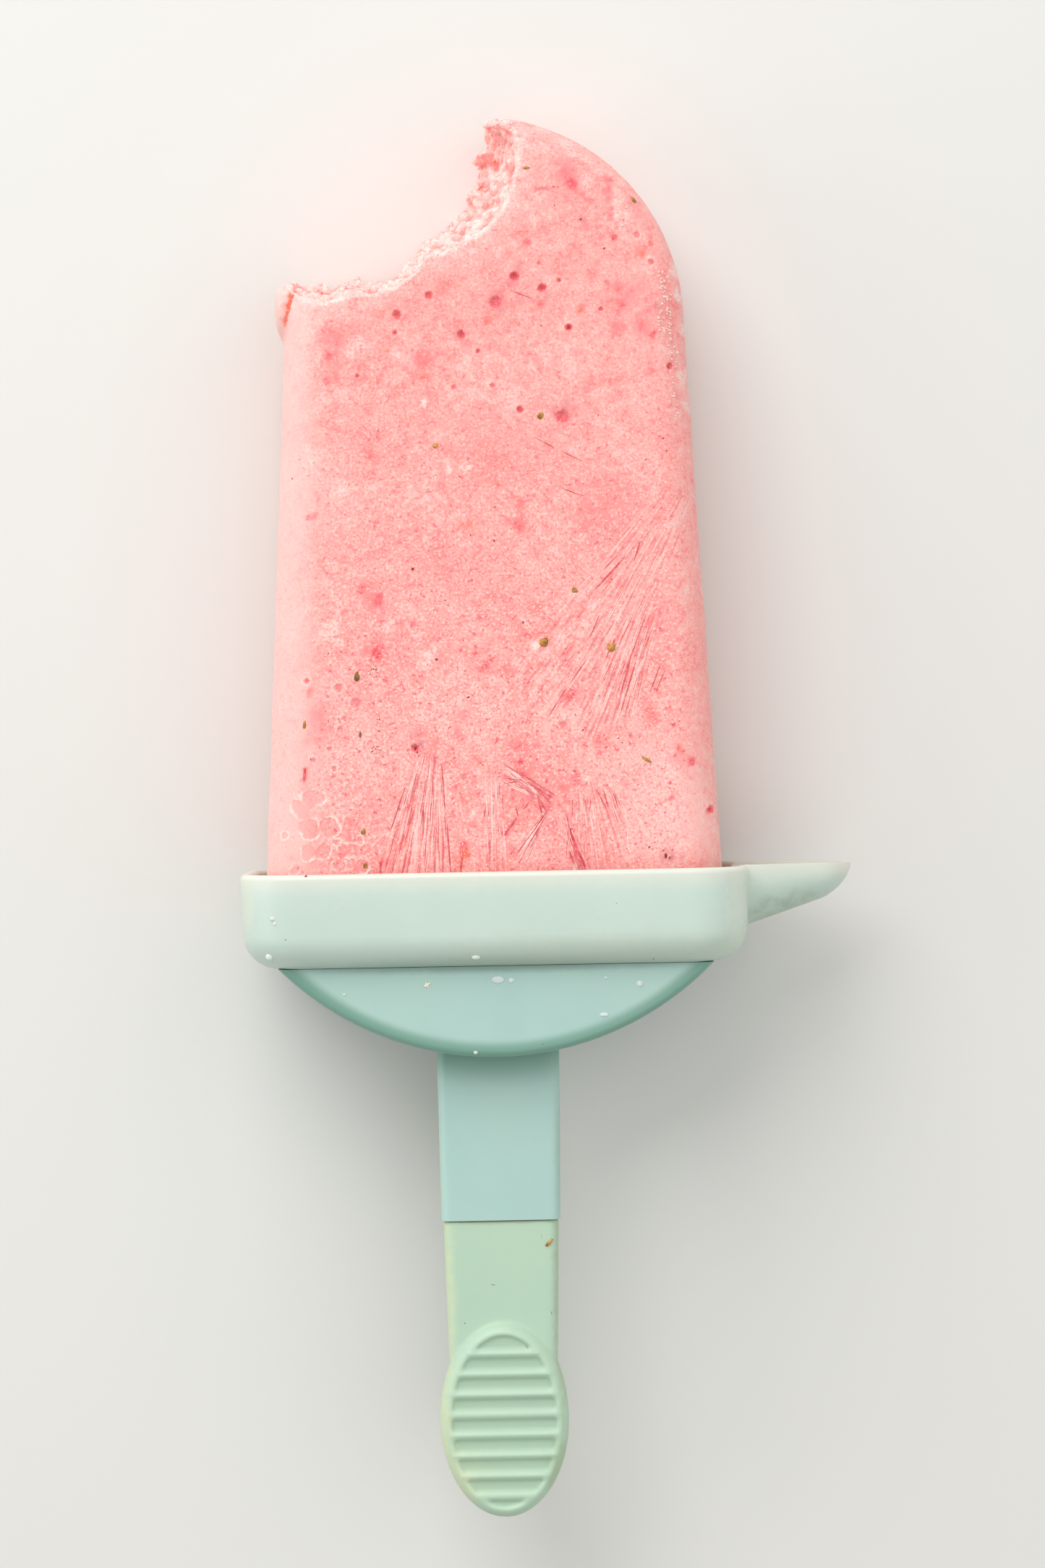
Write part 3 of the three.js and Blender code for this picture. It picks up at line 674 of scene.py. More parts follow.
# From here on, a pair with no note of its own says where a thing starts and where it is full.
CRACK_TOP = (-26.2, 78.9)
CRACK_END = (-27.25, 74.4)
CRACK_HALF_WIDTHS = (0.36, 0.16)  # at its top and at its end
CRACK_NARROWING = 0.6
CRACK_WANDER = 0.12
CRACK_EDGE = (0.16, -0.1)
CRACK_STARTS = (-0.12, 0.02)
CRACK_STOPS = (1.1, 0.9)
CRACK_SHARES = (-0.2, 1.2)  # of its length, past which there is none of it
CRACK_DEPTH = 0.55
CRACK_SHALLOWS = 0.95
CRACK_LOWEST = 3.0
CRACK_AMBER = (1.1, 0.75)  # at its top and at its end
WALL_HOLLOWS = (  # place across and along, radius and how red it is inside
    (-0.6, 95.4, 0.55, 0.9),
    (0.1, 91.6, 0.6, 1.0),
    (0.6, 90.8, 0.4, 0.7),
    (1.8, 94.7, 0.45, 0.5),
    (1.6, 99.9, 0.6, 0.45),
    (3.1, 99.3, 0.5, 0.4),
    (2.2, 97.3, 0.5, 0.4),
    (0.1, 97.6, 0.5, 0.4),
    (-2.5, 90.6, 0.45, 0.4),
    (-3.0, 88.6, 0.5, 0.5),
    (-11.7, 81.6, 0.5, 0.7),
    (-10.7, 81.4, 0.4, 0.8),
    (-14.4, 80.4, 0.4, 0.4),
    (-21.7, 79.9, 0.4, 0.4),
)
POP_SKIN = 0.75
TIP_ROOM = 0.1  # how far short of the mould's tip the relief ends
FACE_LOOKS_UP = 0.35
FACE_TURN = (0.1, 0.5)
FACE_EDGE = (0.4, 1.2)
WALL_EDGE = (1.0, 0.3)
WALL_BELOW = (0.35, 1.6)
WALL_FROST = (0.55, 0.3, 0.25)  # everywhere, on the grit and on the crags
WALL_REDNESS = {"berry": 0.55, "amber": 0.5}
CREVICE_LOW = (0.6, 0.8)  # how far low grit and low crags count
CREVICE_EDGE = (0.0, -0.9)
LIP_WIDTH = 0.95
LIP_DEPTH = 2.2
LIP_EDGE = (1.3, 0.35)
LIP_BELOW = (LIP_DEPTH, 0.5)
LIP_BEAD = 0.1
LIP_SMOOTHING = 3
LIP_FROST = (0.46, 0.25)  # on the whole, and how much it varies
BY_LIP_FROST = 0.28
BY_LIP_EDGE = (3.4, 0.8)
BY_LIP_BELOW = (LIP_DEPTH, 0.7)
TOOTH_DRAG = 0.42  # the teeth drew the wall's crags out along their way
CRAG_SIZE = 2.4
CRAG_HEIGHT = 0.65
GRIT_SIZE = 1.25
GRIT_HEIGHT = 0.42
SUGAR_SIZE = 0.55
SUGAR_HEIGHT = 0.07
GRAIN_REACH = 0.75
HOLLOW_DEPTH = 0.5
HOLLOW_WOBBLE = 0.4
HOLLOW_EDGE = (1.2, 0.4)  # in radii
SKIN_SWELL = 0.07
SKIN_GRAIN = 0.03
HOLE_RIM = 0.45
HOLE_RIM_HEIGHT = 0.05
HOLE_RIM_INSIDE = 0.7
HOLE_WOBBLE = 0.32
HOLE_FLOOR = 0.35
HOLE_RED_EDGE = (1.1, 0.75)  # in radii
BLISTER_DARKEST = 0.2  # lighter ones are shallow burst blisters with a flat floor
BLISTER_FLOOR = 0.75
BLISTER_FROST = 0.5
AIR_HOLES = (  # place across and along, radius, depth, and how dark it is inside
    (4.2, 80.3, 0.75, 0.6, 0.9),
    (7.9, 78.7, 0.65, 0.5, 0.75),
    (-7.4, 78, 0.65, 0.45, 0.22),
    (-11.8, 75.4, 0.7, 0.5, 0.5),
    (1.6, 76.9, 0.95, 0.35, 0.55),
    (-3.2, 72.6, 0.65, 0.5, 0.85),
    (11.4, 73.3, 0.55, 0.45, 0.8),
    (10.4, 61.3, 1, 0.35, 0.55),
    (25.1, 67.9, 0.5, 0.5, 0.9),
    (-10.4, 16.7, 0.65, 0.4, 0.6),
    (-18.3, 23.1, 0.75, 0.13, 0.1),
    (-20.6, 25.1, 0.65, 0.13, 0.1),
    (-22.1, 23.9, 0.3, 0.1, 0.2),
    (-20.1, 23.5, 0.25, 0.1, 0.2),
    (-19.9, 20.9, 0.4, 0.12, 0.15),
    (-20.5, 19.4, 0.45, 0.1, 0.15),
    (-24.9, 26.1, 0.45, 0.12, 0.15),
    (-22.0, 16.9, 0.4, 0.1, 0.2),
    (-24.2, 15.4, 0.4, 0.1, 0.1),
    (-21.4, 14.2, 0.45, 0.12, 0.1),
    (-21.5, 13.1, 0.25, 0.12, 0.2),
    (-15.0, 23.2, 0.3, 0.1, 0.2),
    (9.6, 19.6, 0.5, 0.2, 0.35),
    (17.8, 85.3, 0.55, 0.2, 0.3),
    (20.9, 85.7, 0.5, 0.12, 0.1),
    (22.8, 82.1, 0.5, 0.12, 0.1),
    (7.5, 82.1, 0.3, 0.2, 0.4),
    (10.2, 79.7, 0.35, 0.3, 0.6),
    (15.8, 75.7, 0.35, 0.3, 0.75),
    (-0.9, 70.3, 0.35, 0.3, 0.6),
    (4.6, 62.3, 0.55, 0.35, 0.75),
    (1.0, 65.6, 0.4, 0.2, 0.3),
    (-4.3, 65.5, 0.4, 0.2, 0.3),
    (-12.1, 73.0, 0.35, 0.3, 0.6),
    (-17.3, 67.2, 0.35, 0.3, 0.6),
    (29.4, 7.6, 0.5, 0.2, 0.4),
    (18.8, 17.9, 0.35, 0.2, 0.4),
    (24.6, 19.2, 0.35, 0.2, 0.4),
)
FOAM_BUBBLES = (  # place across and along, and radius of the burst bubbles by the tray's left end
    (-24.3, 10.2, 1.5),
    (-25.9, 8.7, 1.2),
    (-24.8, 6.4, 1.5),
    (-22.1, 6.3, 1.4),
    (-25.2, 3.0, 1.3),
    (-23.0, 3.1, 1.05),
    (-21.3, 4.2, 0.6),
    (-20.3, 3.2, 0.85),
    (-19.0, 3.1, 0.9),
    (-21.0, 1.3, 0.95),
    (-19.5, 1.5, 0.7),
    (-17.8, 0.9, 1.25),
    (-18.0, 4.4, 0.6),
    (-28.4, 5.3, 0.6),
    (-26.9, 0.6, 0.8),
)
FOAM_REACH = 1.7
FOAM_FINE = 0.5
FOAM_WALL = (0.18, 0.03)
FOAM_WHOLE = (-0.4, 0.1)
FOAM_FLOOR = (0.1, -0.25)
FOAM_HEIGHT = 0.1
FOAM_SHIFTS = ((3.7, 8.1, 1.9), (12.4, 5.2, 6.6))  # so that it wanders apart across and along
FOAM_SINK = 0.08
FOAM_REDNESS = 0.16
# The left rounded side is paler: frost, and painted sheen where it faces the light.
FROST_AND_SHEEN_PLACE = (-21.0, -27.0)
FROST_AND_SHEEN_WANDER = 1.6
SPOT_REACH = 3.5
SPOT_EDGE = (1.4, 0.2)  # in radii
PATCH_EDGE = (1.25, 0.2)  # in half sizes
PATCH_REACH = 1.6
FRUIT_SPOTS = {  # place across and along, radius and strength
    "berry": (
        (12.3, 92.8, 1.2, 0.9),
        (12.0, 93.4, 2.3, 0.35),
        (-21.1, 70.0, 0.8, 0.9),
        (-20.3, 72.3, 2.0, 0.35),
        (-21.4, 66.8, 0.6, 0.6),
        (-20.1, 66.9, 0.9, 0.4),
        (5.9, 84.9, 0.6, 0.8),
        (-8.2, 69.2, 2.0, 0.4),
        (7.6, 76.7, 0.9, 0.5),
        (18.2, 78.5, 1.1, 0.7),
        (18.7, 76.5, 0.9, 0.9),
        (18.2, 75.4, 0.6, 0.7),
        (21.3, 73.7, 1.7, 0.5),
        (17.8, 73.2, 1.1, 0.5),
        (19.6, 77.4, 2.6, 0.3),
        (22.8, 72.2, 0.7, 0.7),
        (22.4, 67.2, 0.8, 0.4),
        (13.9, 65.3, 0.9, 0.4),
        (26.0, 64.2, 1.0, 0.3),
        (17.2, 93.3, 1.0, 0.5),
        (17.1, 91.9, 0.8, 0.6),
        (17.2, 90.6, 0.6, 0.6),
        (17.4, 89.3, 0.5, 0.6),
        (17.5, 88.3, 0.45, 0.6),
        (22.5, 86.8, 0.5, 0.5),
        (22.7, 85.6, 0.5, 0.5),
        (22.8, 84.5, 0.45, 0.6),
        (-15.6, 56.5, 0.7, 0.5),
        (-6.2, 52.0, 0.7, 0.4),
        (4.5, 49.4, 0.7, 0.5),
        (4.1, 46.8, 1.2, 0.7),
        (-24.2, 48.2, 0.5, 0.6),
        (-23.3, 48.2, 0.5, 0.6),
        (-15.4, 36.6, 0.9, 1.0),
        (-14.9, 37.3, 0.6, 1.6),
        (-15.8, 36.1, 2.4, 0.35),
        (-17.3, 38.3, 0.7, 0.6),
        (-15.3, 29.6, 0.9, 1.7),
        (-15.5, 30.1, 1.7, 0.4),
        (-11.9, 33.7, 0.5, 0.8),
        (-10.4, 33.5, 0.6, 0.7),
        (10.8, 23.6, 0.8, 1.3),
        (10.6, 23.4, 1.6, 0.4),
        (22.0, 33.1, 1.4, 0.5),
        (26.7, 14.4, 0.7, 0.75),
        (25.6, 15.0, 1.6, 0.25),
        (29.4, 7.6, 0.6, 0.8),
        (-25.4, 14.1, 0.4, 1.0),
        (-25.4, 13.4, 0.4, 1.0),
        (-25.5, 12.7, 0.4, 1.0),
        (-26.4, 0.8, 0.35, 0.9),
        (-24.6, 24.6, 0.6, 0.7),
        (-23.4, 20.4, 2.0, 0.3),
        (-9.8, 18.9, 1.1, 0.4),
        (5.4, 10.4, 1.3, 0.6),
        (7.5, 8.7, 1.1, 0.6),
        (10.5, 5.0, 0.4, 1.2),
        (10.9, 3.6, 0.5, 1.3),
        (11.4, 2.2, 0.55, 1.3),
        (11.9, 0.9, 0.6, 1.3),
        (10.5, 1.5, 0.55, 1.2),
        (6.4, 10.5, 0.7, 0.9),
        (7.4, 9.7, 0.7, 0.9),
        (5.4, 11.3, 0.6, 0.7),
        (6.4, 8.5, 0.5, 0.8),
        (4.2, 13.0, 0.55, 1.1),
        (3.7, 14.7, 0.55, 1.0),
        (2.8, 16.8, 0.5, 0.9),
        (3.7, 17.0, 0.4, 0.8),
        (2.3, 15.7, 0.35, 0.9),
        (1.5, 5.1, 0.6, 1.0),
        (2.4, 6.2, 0.5, 0.9),
        (8.1, 6.1, 0.6, 0.8),
        (14.5, 17.4, 0.7, 0.6),
        (14.6, 15.4, 0.6, 0.5),
        (11.2, 12.4, 0.8, 0.7),
        (9.6, 11.0, 0.6, 0.6),
        (12.7, 9.1, 0.5, 0.8),
        (15.3, 8.5, 0.5, 0.6),
        (24.1, 9.4, 0.45, 0.9),
        (17.9, 6.3, 0.3, 0.9),
        (18.1, 4.4, 0.25, 0.9),
        (-0.8, 27.7, 1.2, 0.5),
        (2.0, 27.3, 0.9, 0.45),
        (-3.9, 21.0, 1.0, 0.4),
        (-4.6, 18.4, 0.8, 0.4),
        (16.5, 7.4, 1.2, 0.3),
        (-4.0, 3.2, 0.7, 1.0),
        (-14.9, 1.2, 1.0, 0.6),
        (2.5, 2.8, 1.1, 0.4),
        (0.1, 90.3, 0.6, 1.0),
        (-0.6, 94.2, 0.5, 0.8),
        (-3.1, 94.9, 0.5, 0.6),
        (-11.0, 80.9, 0.7, 0.8),
    ),
    "amber": (
        (12.9, 75.7, 0.6, 0.7),
        (0.1, 74.3, 0.5, 0.7),
        (-13.2, 70.5, 0.5, 0.6),
        (21.3, 83.1, 0.7, 0.9),
        (-2.6, 46.9, 0.7, 0.9),
        (-8.0, 67.0, 0.5, 0.5),
        (21.2, 30.8, 0.6, 0.9),
        (25.4, 16.0, 0.6, 0.8),
        (-4.1, 2.2, 0.7, 1.3),
        (-4.4, 0.9, 0.5, 1.0),
        (-1.2, 8.8, 0.35, 0.8),
        (-27.0, 77.4, 0.6, 0.5),
        (-26.9, 80.0, 0.9, 0.4),
    ),
    "plum": (
        (12.0, 95.2, 1.5, 0.5),
        (4.2, 80.3, 1.2, 0.5),
        (1.6, 76.9, 1.3, 0.8),
        (10.5, 61.2, 1.5, 0.9),
        (-3.2, 72.6, 1.1, 0.4),
        (-10.0, 17.3, 1.3, 0.6),
        (-7.7, 64.4, 1.3, 0.4),
        (23.6, 1.6, 1.4, 0.6),
        (20.5, 90.4, 1.2, 0.5),
        (13.3, 87.9, 0.7, 0.7),
        (23.4, 75.9, 0.8, 0.4),
    ),
    "frost": (
        (18.3, 91.8, 0.6, 0.5),
        (18.3, 90.3, 0.8, 0.5),
        (18.4, 88.7, 0.9, 0.5),
        (19.0, 87.2, 0.8, 0.45),
        (19.6, 85.7, 0.7, 0.4),
        (-17.5, 71.0, 1.6, 0.5),
        (-10.8, 69.4, 1.3, 0.5),
        (-5.2, 54.5, 0.7, 0.8),
        (-2.8, 54.5, 0.7, 0.8),
        (5.9, 30.4, 0.6, 0.9),
        (-8.3, 63.6, 0.6, 0.9),
        (26.2, 81.0, 1.0, 0.7),
        (26.9, 77.5, 1.1, 0.7),
        (27.3, 73.0, 1.2, 0.7),
        (27.0, 66.5, 1.0, 0.6),
        (24.4, 70.0, 0.8, 0.4),
        (27.4, 62.5, 0.9, 0.5),
        (-23.9, 55.6, 1.0, 0.5),
        (-19.8, 52.0, 1.6, 0.4),
        (-21.6, 32.8, 1.2, 0.7),
        (-8.6, 28.6, 1.5, 0.5),
        (2.6, 16.2, 0.35, 0.8),
        (12.8, 12.2, 0.5, 0.6),
        (-2.6, 7.9, 0.4, 0.7),
        (18.1, 6.5, 0.4, 0.7),
        (18.1, 5.2, 0.35, 0.7),
        (18.2, 3.9, 0.35, 0.6),
        (18.2, 2.6, 0.4, 0.7),
        (18.2, 1.3, 0.4, 0.7),
    ),
}
PATCHES = {  # broad patches: place across and along, half sizes and strength
    "pale": (
        (-22.0, 51.0, 6.0, 9.0, 0.4),
        (-21.0, 19.0, 8.0, 12.0, 0.35),
        # painted light low on the right side
        (22.5, 10.0, 9.0, 12.0, 0.9),
        (21.0, 73.0, 3.5, 17.0, 0.4),
        (-13.0, 17.0, 4.0, 5.0, 0.2),
    ),
    "rosy": (
        (17.0, 47.0, 6.0, 9.0, 0.7),
        (4.5, 12.0, 5.5, 9.0, 0.65),
        (-10.0, 29.0, 6.0, 4.5, 0.5),
        (-1.0, 57.0, 9.0, 8.0, 0.35),
        (7.5, 64.5, 4.0, 6.0, 0.3),
        (-12.0, 78.5, 8.0, 3.0, 0.3),
        # deeper pink down the right rounded side: painted shade
        (26.0, 74.0, 2.5, 9.0, 0.35),
    ),
}
# How much of each of these the skin has at a point is painted on it, for the material to colour. One of them
# is frost with painted sheen on the left rounded side, and one is painted shade in the bitten wall's low
# places.
TINTS = ("berry", "amber", "plum", "hollow", "frost", "crevice_shade", "pale", "rosy", "smooth")


def pop_plate():
    """The whole pop before the bite."""
    bm = bmesh.new()
    lean = math.atan(SIDE_SLOPE)
    peak = math.acos(TIP_OFFSET / TIP_RADIUS)
    start = (-TIP_OFFSET + TIP_RADIUS * math.cos(lean), TIP_CENTRE + TIP_RADIUS * math.sin(lean))
    side = bm.verts.new((*start, -POP_HALF_THICKNESS))
    centre = (-TIP_OFFSET, TIP_CENTRE, -POP_HALF_THICKNESS)
    bmesh.ops.spin(bm, geom=[side], cent=centre, axis=(0, 0, 1), angle=peak - lean, steps=48)
    base = bm.verts.new((RIM_HALF_WIDTH - SIDE_SLOPE * POP_BASE, POP_BASE, -POP_HALF_THICKNESS))
    bm.edges.new((base, side))
    bmesh.ops.mirror(bm, geom=bm.verts[:] + bm.edges[:], axis="X", merge_dist=SAME_PLACE)
    bmesh.ops.remove_doubles(bm, verts=bm.verts, dist=SAME_PLACE)
    back = bmesh.ops.contextual_create(bm, geom=bm.verts[:] + bm.edges[:])["faces"]
    grown = bmesh.ops.extrude_face_region(bm, geom=back)["geom"]
    front = [v for v in grown if isinstance(v, bmesh.types.BMVert)]
    bmesh.ops.translate(bm, vec=(0, 0, 2 * POP_HALF_THICKNESS), verts=front)
    bmesh.ops.recalc_face_normals(bm, faces=bm.faces)
    level = [e for e in bm.edges if rise(e, 2) < SAME_PLACE]
    outer = [e for e in level if max(v.co.y for v in e.verts) > POP_BASE + SAME_PLACE]
    rounded(bm, outer, POP_EDGE, segments=10)
    return bm


def part_way(first, second, share):
    return first + (second - first) * share


def between(front, back, share):
    return tuple(part_way(a, b, share) for a, b in zip(front, back))


def tooth_mark(front, back):
    """The slanted round space that one tooth took out, from in front of the face to behind the back."""
    near = between(front, back, -BITE_BEYOND)
    far = between(front, back, 1 + BITE_BEYOND)
    height = 2 * POP_HALF_THICKNESS * (1 + 2 * BITE_BEYOND)
    bm = bmesh.new()
    bmesh.ops.create_cone(bm, cap_ends=True, segments=96, radius1=far[2], radius2=near[2], depth=height)
    middle = between(near, far, 0.5)
    slant = Matrix.Translation((middle[0], middle[1], 0))
    slant[0][2] = (near[0] - far[0]) / height
    slant[1][2] = (near[1] - far[1]) / height
    bmesh.ops.transform(bm, matrix=slant, verts=bm.verts)
    return bm


def corner_outline(share):
    """The corner that is gone past the tooth marks, as an outline at one depth."""
    marks = [between(front, back, share) for front, back in TOOTH_MARKS]
    angle = math.radians(part_way(*HORN_ANGLES, share))
    x, y, radius = marks[0]
    horn = (x + radius * math.cos(angle), y + radius * math.sin(angle))
    outside = [(horn[0], OUTSIDE[1]), OUTSIDE, (OUTSIDE[0], marks[-1][1])]
    return [horn, *outside, *(mark[:2] for mark in reversed(marks))]


def bitten_corner():
    """The straight-sided space past the tooth marks."""
    bm = bmesh.new()
    outlines = []
    for share in (0.0, 1.0):
        z = (1 - 2 * share) * (POP_HALF_THICKNESS + 1)
        outlines.append([bm.verts.new((*place, z)) for place in corner_outline(share)])
        points = outlines[-1]
        for first, second in zip(points, points[1:] + points[:1]):
            bm.edges.new((first, second))
    bmesh.ops.bridge_loops(bm, edges=bm.edges)
    bmesh.ops.holes_fill(bm, edges=bm.edges, sides=0)
    bmesh.ops.triangulate(bm, faces=[f for f in bm.faces if len(f.verts) > 4])
    bmesh.ops.recalc_face_normals(bm, faces=bm.faces)
    return bm


def pebble(place, half, lean):
    """A smooth lump of ice."""
    bm = bmesh.new()
    turned = Matrix.Translation(place) @ Matrix.Rotation(lean, 4, "Z") @ Matrix.Diagonal((*half, 1))
    bmesh.ops.create_icosphere(bm, subdivisions=4, radius=1, matrix=turned)
    return bm


def thinned(y):
    """What is left of the half thickness at a place along the pop."""
    return 1 - POP_THINNING * (y - POP_BASE) / POP_HALF_THICKNESS


def face_height(x, y):
    """How high the smooth front face stands over the pop's middle, before the pop thins towards its tip."""
    if y > TIP_CENTRE:
        inward = TIP_RADIUS - math.hypot(abs(x) + TIP_OFFSET, y - TIP_CENTRE)
    else:
        inward = (RIM_HALF_WIDTH - SIDE_SLOPE * y - abs(x)) * math.cos(math.atan(SIDE_SLOPE))
    past = min(max(POP_EDGE - inward, 0), POP_EDGE)
    return POP_HALF_THICKNESS - POP_EDGE + math.sqrt(POP_EDGE**2 - past**2)


def past_bite(x, y, z):
    """How far a place is from the bite. What is below 0 has been bitten away."""
    share = 0.5 - z / (2 * POP_HALF_THICKNESS)
    horn = corner_outline(share)[0]
    marks = [between(front, back, share) for front, back in TOOTH_MARKS]
    gap = min(math.hypot(x - across, y - along) - radius for across, along, radius in marks)
    return min(gap, x - horn[0]) if y > horn[1] else gap


def ramp(value, low, high):
    """0 at low and 1 at high, eased between them."""
    share = min(max((value - low) / (high - low), 0), 1)
    return share * share * (3 - 2 * share)


def split(bm, chosen):
    """Each of the chosen squares becomes four."""
    faces = [f for f in bm.faces if chosen(f.calc_center_median(), f.normal)]
    edges = list(dict.fromkeys(e for f in faces for e in f.edges))
    bmesh.ops.subdivide_edges(bm, edges=edges, cuts=1, use_grid_fill=True)


def on_show(place, normal):
    return past_bite(*place) < WALL_EDGE[0] or (normal.z > FACE_LOOKS_UP and place.z > 0)


def uneven(place, per_mm):
    """Soft noise from -1 to 1, with its number of swings in a millimetre."""
    return noise.noise(place * per_mm)


def foam_gaps(x, y):
    """How far a place is outside each burst bubble near it, the least first."""
    gaps = (math.hypot(x - across, y - along) - radius for across, along, radius in FOAM_BUBBLES)
    return sorted(gap for gap in gaps if gap < FOAM_REACH)


def crack_at(place):
    """1 in the crack behind the loose flake, 0 outside it, and the way down it from 0 to 1."""
    top = Vector(CRACK_TOP)
    line = Vector(CRACK_END) - top
    along = (place.xy - top).dot(line) / line.length_squared
    if place.z < CRACK_LOWEST or not CRACK_SHARES[0] < along < CRACK_SHARES[1]:
        return 0.0, 0.0
    away = (place.xy - top - line * along).length + CRACK_WANDER * uneven(place, 1.1)
    half_width = part_way(*CRACK_HALF_WIDTHS, min(max(along, 0), 1) ** CRACK_NARROWING)
    ends = ramp(along, *CRACK_STARTS) * ramp(along, *CRACK_STOPS)
    return ramp(away, *(half_width + edge for edge in CRACK_EDGE)) * ends, along


def has_small_marks(place, normal):
    """Whether the skin has detail here that is too small for its usual squares."""
    if past_bite(*place) < LIP_WIDTH and face_height(place.x, place.y) - place.z < LIP_DEPTH:
        return True
    if normal.z < FACE_LOOKS_UP or place.z < 0:
        return False
    if crack_at(place)[0] > 0:
        return True
    if any(math.hypot(place.x - x, place.y - y) < radius + HOLE_RIM for x, y, radius, *_ in AIR_HOLES):
        return True
    return any(gap < FOAM_FINE for gap in foam_gaps(place.x, place.y))


def pop_solid():
    """The bitten pop. Its skin is split finer on the face and the bitten wall, and finest at small marks."""
    solid = combined(pop_plate(), "DIFFERENCE", *(tooth_mark(*mark) for mark in TOOTH_MARKS), bitten_corner())
    solid = combined(solid, "UNION", *(pebble(*lump) for lump in LEFT_STANDING))
    solid = remeshed(solid, POP_SKIN)
    split(solid, on_show)
    split(solid, has_small_marks)
    return solid


def grains(place, size):
    """Rounded grains of one size, from -1 in the gaps between them to 1 on top."""
    nearest = noise.voronoi(place / size)[0][0]
    return 1 - 2 * min(nearest / GRAIN_REACH, 1)


def hole_relief(place):
    """How far the air holes sink or raise the face at a place, and how dark, red and pale they make it."""
    height = 0.0
    dark = 0.0
    red = 0.0
    pale = 0.0
    for across, along, radius, depth, darkness in AIR_HOLES:
        away = math.hypot(place.x - across, place.y - along)
        if away < radius + HOLE_RIM:
            blister = darkness <= BLISTER_DARKEST
            away *= 1 + HOLE_WOBBLE * uneven(place, 1.7 / radius)
            bowl = ramp(away, radius, radius * (BLISTER_FLOOR if blister else HOLE_FLOOR))
            rim = ramp(away, radius + HOLE_RIM, radius) * ramp(away, radius * HOLE_RIM_INSIDE, radius)
            height += HOLE_RIM_HEIGHT * rim - depth * bowl
            dark = max(dark, bowl * darkness * (0.85 + 0.6 * uneven(place, 2.3)))
            reddened = ramp(away, *(radius * share for share in HOLE_RED_EDGE))
            red = max(red, reddened * (0.45 + 0.5 * darkness))
            if blister:
                pale = max(pale, rim * ramp(uneven(place, 0.8), -0.3, 0.2))
    return height, dark, red, pale


def hollows_in_wall(place):
    """How far the hollows in the bitten wall reach in, and how red they are there."""
    sunk = 0.0
    red = 0.0
    for x, y, radius, redness in WALL_HOLLOWS:
        away = math.hypot(place.x - x, place.y - y) * (1 + HOLLOW_WOBBLE * uneven(place, 1.5))
        inside = ramp(away, *(radius * share for share in HOLLOW_EDGE))
        sunk = max(sunk, inside)
        red = max(red, inside * redness)
    return sunk, red


def foam_relief(place):
    """The thin walls left round burst bubbles, and their sunken floors, each from 0 to 1."""
    shifted = [place + Vector(shift) for shift in FOAM_SHIFTS]
    wander = [0.65 * uneven(spot, 0.5) + 0.2 * uneven(spot, 1.6) for spot in shifted]
    gaps = foam_gaps(place.x + wander[0], place.y + wander[1])
    if not gaps:
        return 0.0, 0.0
    from_wall = abs(gaps[0])
    if len(gaps) > 1 and gaps[1] < 0:
        from_wall = min(from_wall, (gaps[1] - gaps[0]) / 2)
    whole = ramp(uneven(place, 0.5), *FOAM_WHOLE)
    return ramp(from_wall, *FOAM_WALL) * whole, ramp(gaps[0], *FOAM_FLOOR)


def frayed_spot(away, radius, place):
    """How much of a fruit spot is left this far from its middle, with clumps in it and a frayed edge."""
    away *= 1 + 0.8 * uneven(place, 0.9 / radius) + 0.5 * uneven(place, 2.4)
    clumps = 1 + 0.7 * uneven(place, 1.2) + 0.5 * uneven(place, 2.4)
    return clumps * ramp(away, *(radius * share for share in SPOT_EDGE))


def patch_at(place, patches):
    """How far a place is inside any of the broad patches, which fade out with ragged edges."""
    most = 0.0
    for across, along, half_width, half_length, strength in patches:
        away = math.hypot((place.x - across) / half_width, (place.y - along) / half_length)
        if away < PATCH_REACH:
            away += 0.35 * uneven(place, 0.3) + 0.15 * uneven(place, 1.2)
            most = max(most, strength * ramp(away, *PATCH_EDGE))
    return most


def wall_relief(place):
    """How high the torn ice of the wall stands, and its crags and grit from -1 to 1."""
    dragged = Vector((place.x, place.y, place.z * TOOTH_DRAG))
    crag = noise.noise(dragged / CRAG_SIZE)
    grit = grains(dragged, GRIT_SIZE)
    return CRAG_HEIGHT * crag + GRIT_HEIGHT * grit + SUGAR_HEIGHT * grains(dragged, SUGAR_SIZE), crag, grit


def mark_face(layers, v, place, face):
    """Paints the face's holes, bubbles, patches and spots at one point, and gives back their relief."""
    height, dark, red, pale = hole_relief(place)
    walls, floors = foam_relief(place)
    v[layers["hollow"]] = dark * face
    v[layers["berry"]] = max(red * face, FOAM_REDNESS * floors * (1 - walls))
    v[layers["frost"]] = max(walls, BLISTER_FROST * pale)
    for name, patches in PATCHES.items():
        v[layers[name]] = patch_at(place, patches)
    for _, number, away in SPOT_TREE.find_range((place.x, place.y, 0), SPOT_REACH):
        kind, _, _, radius, strength = SPOTS[number]
        v[layers[kind]] = max(v[layers[kind]], strength * frayed_spot(away, radius, place))
    return face * (height + FOAM_HEIGHT * walls - FOAM_SINK * floors)


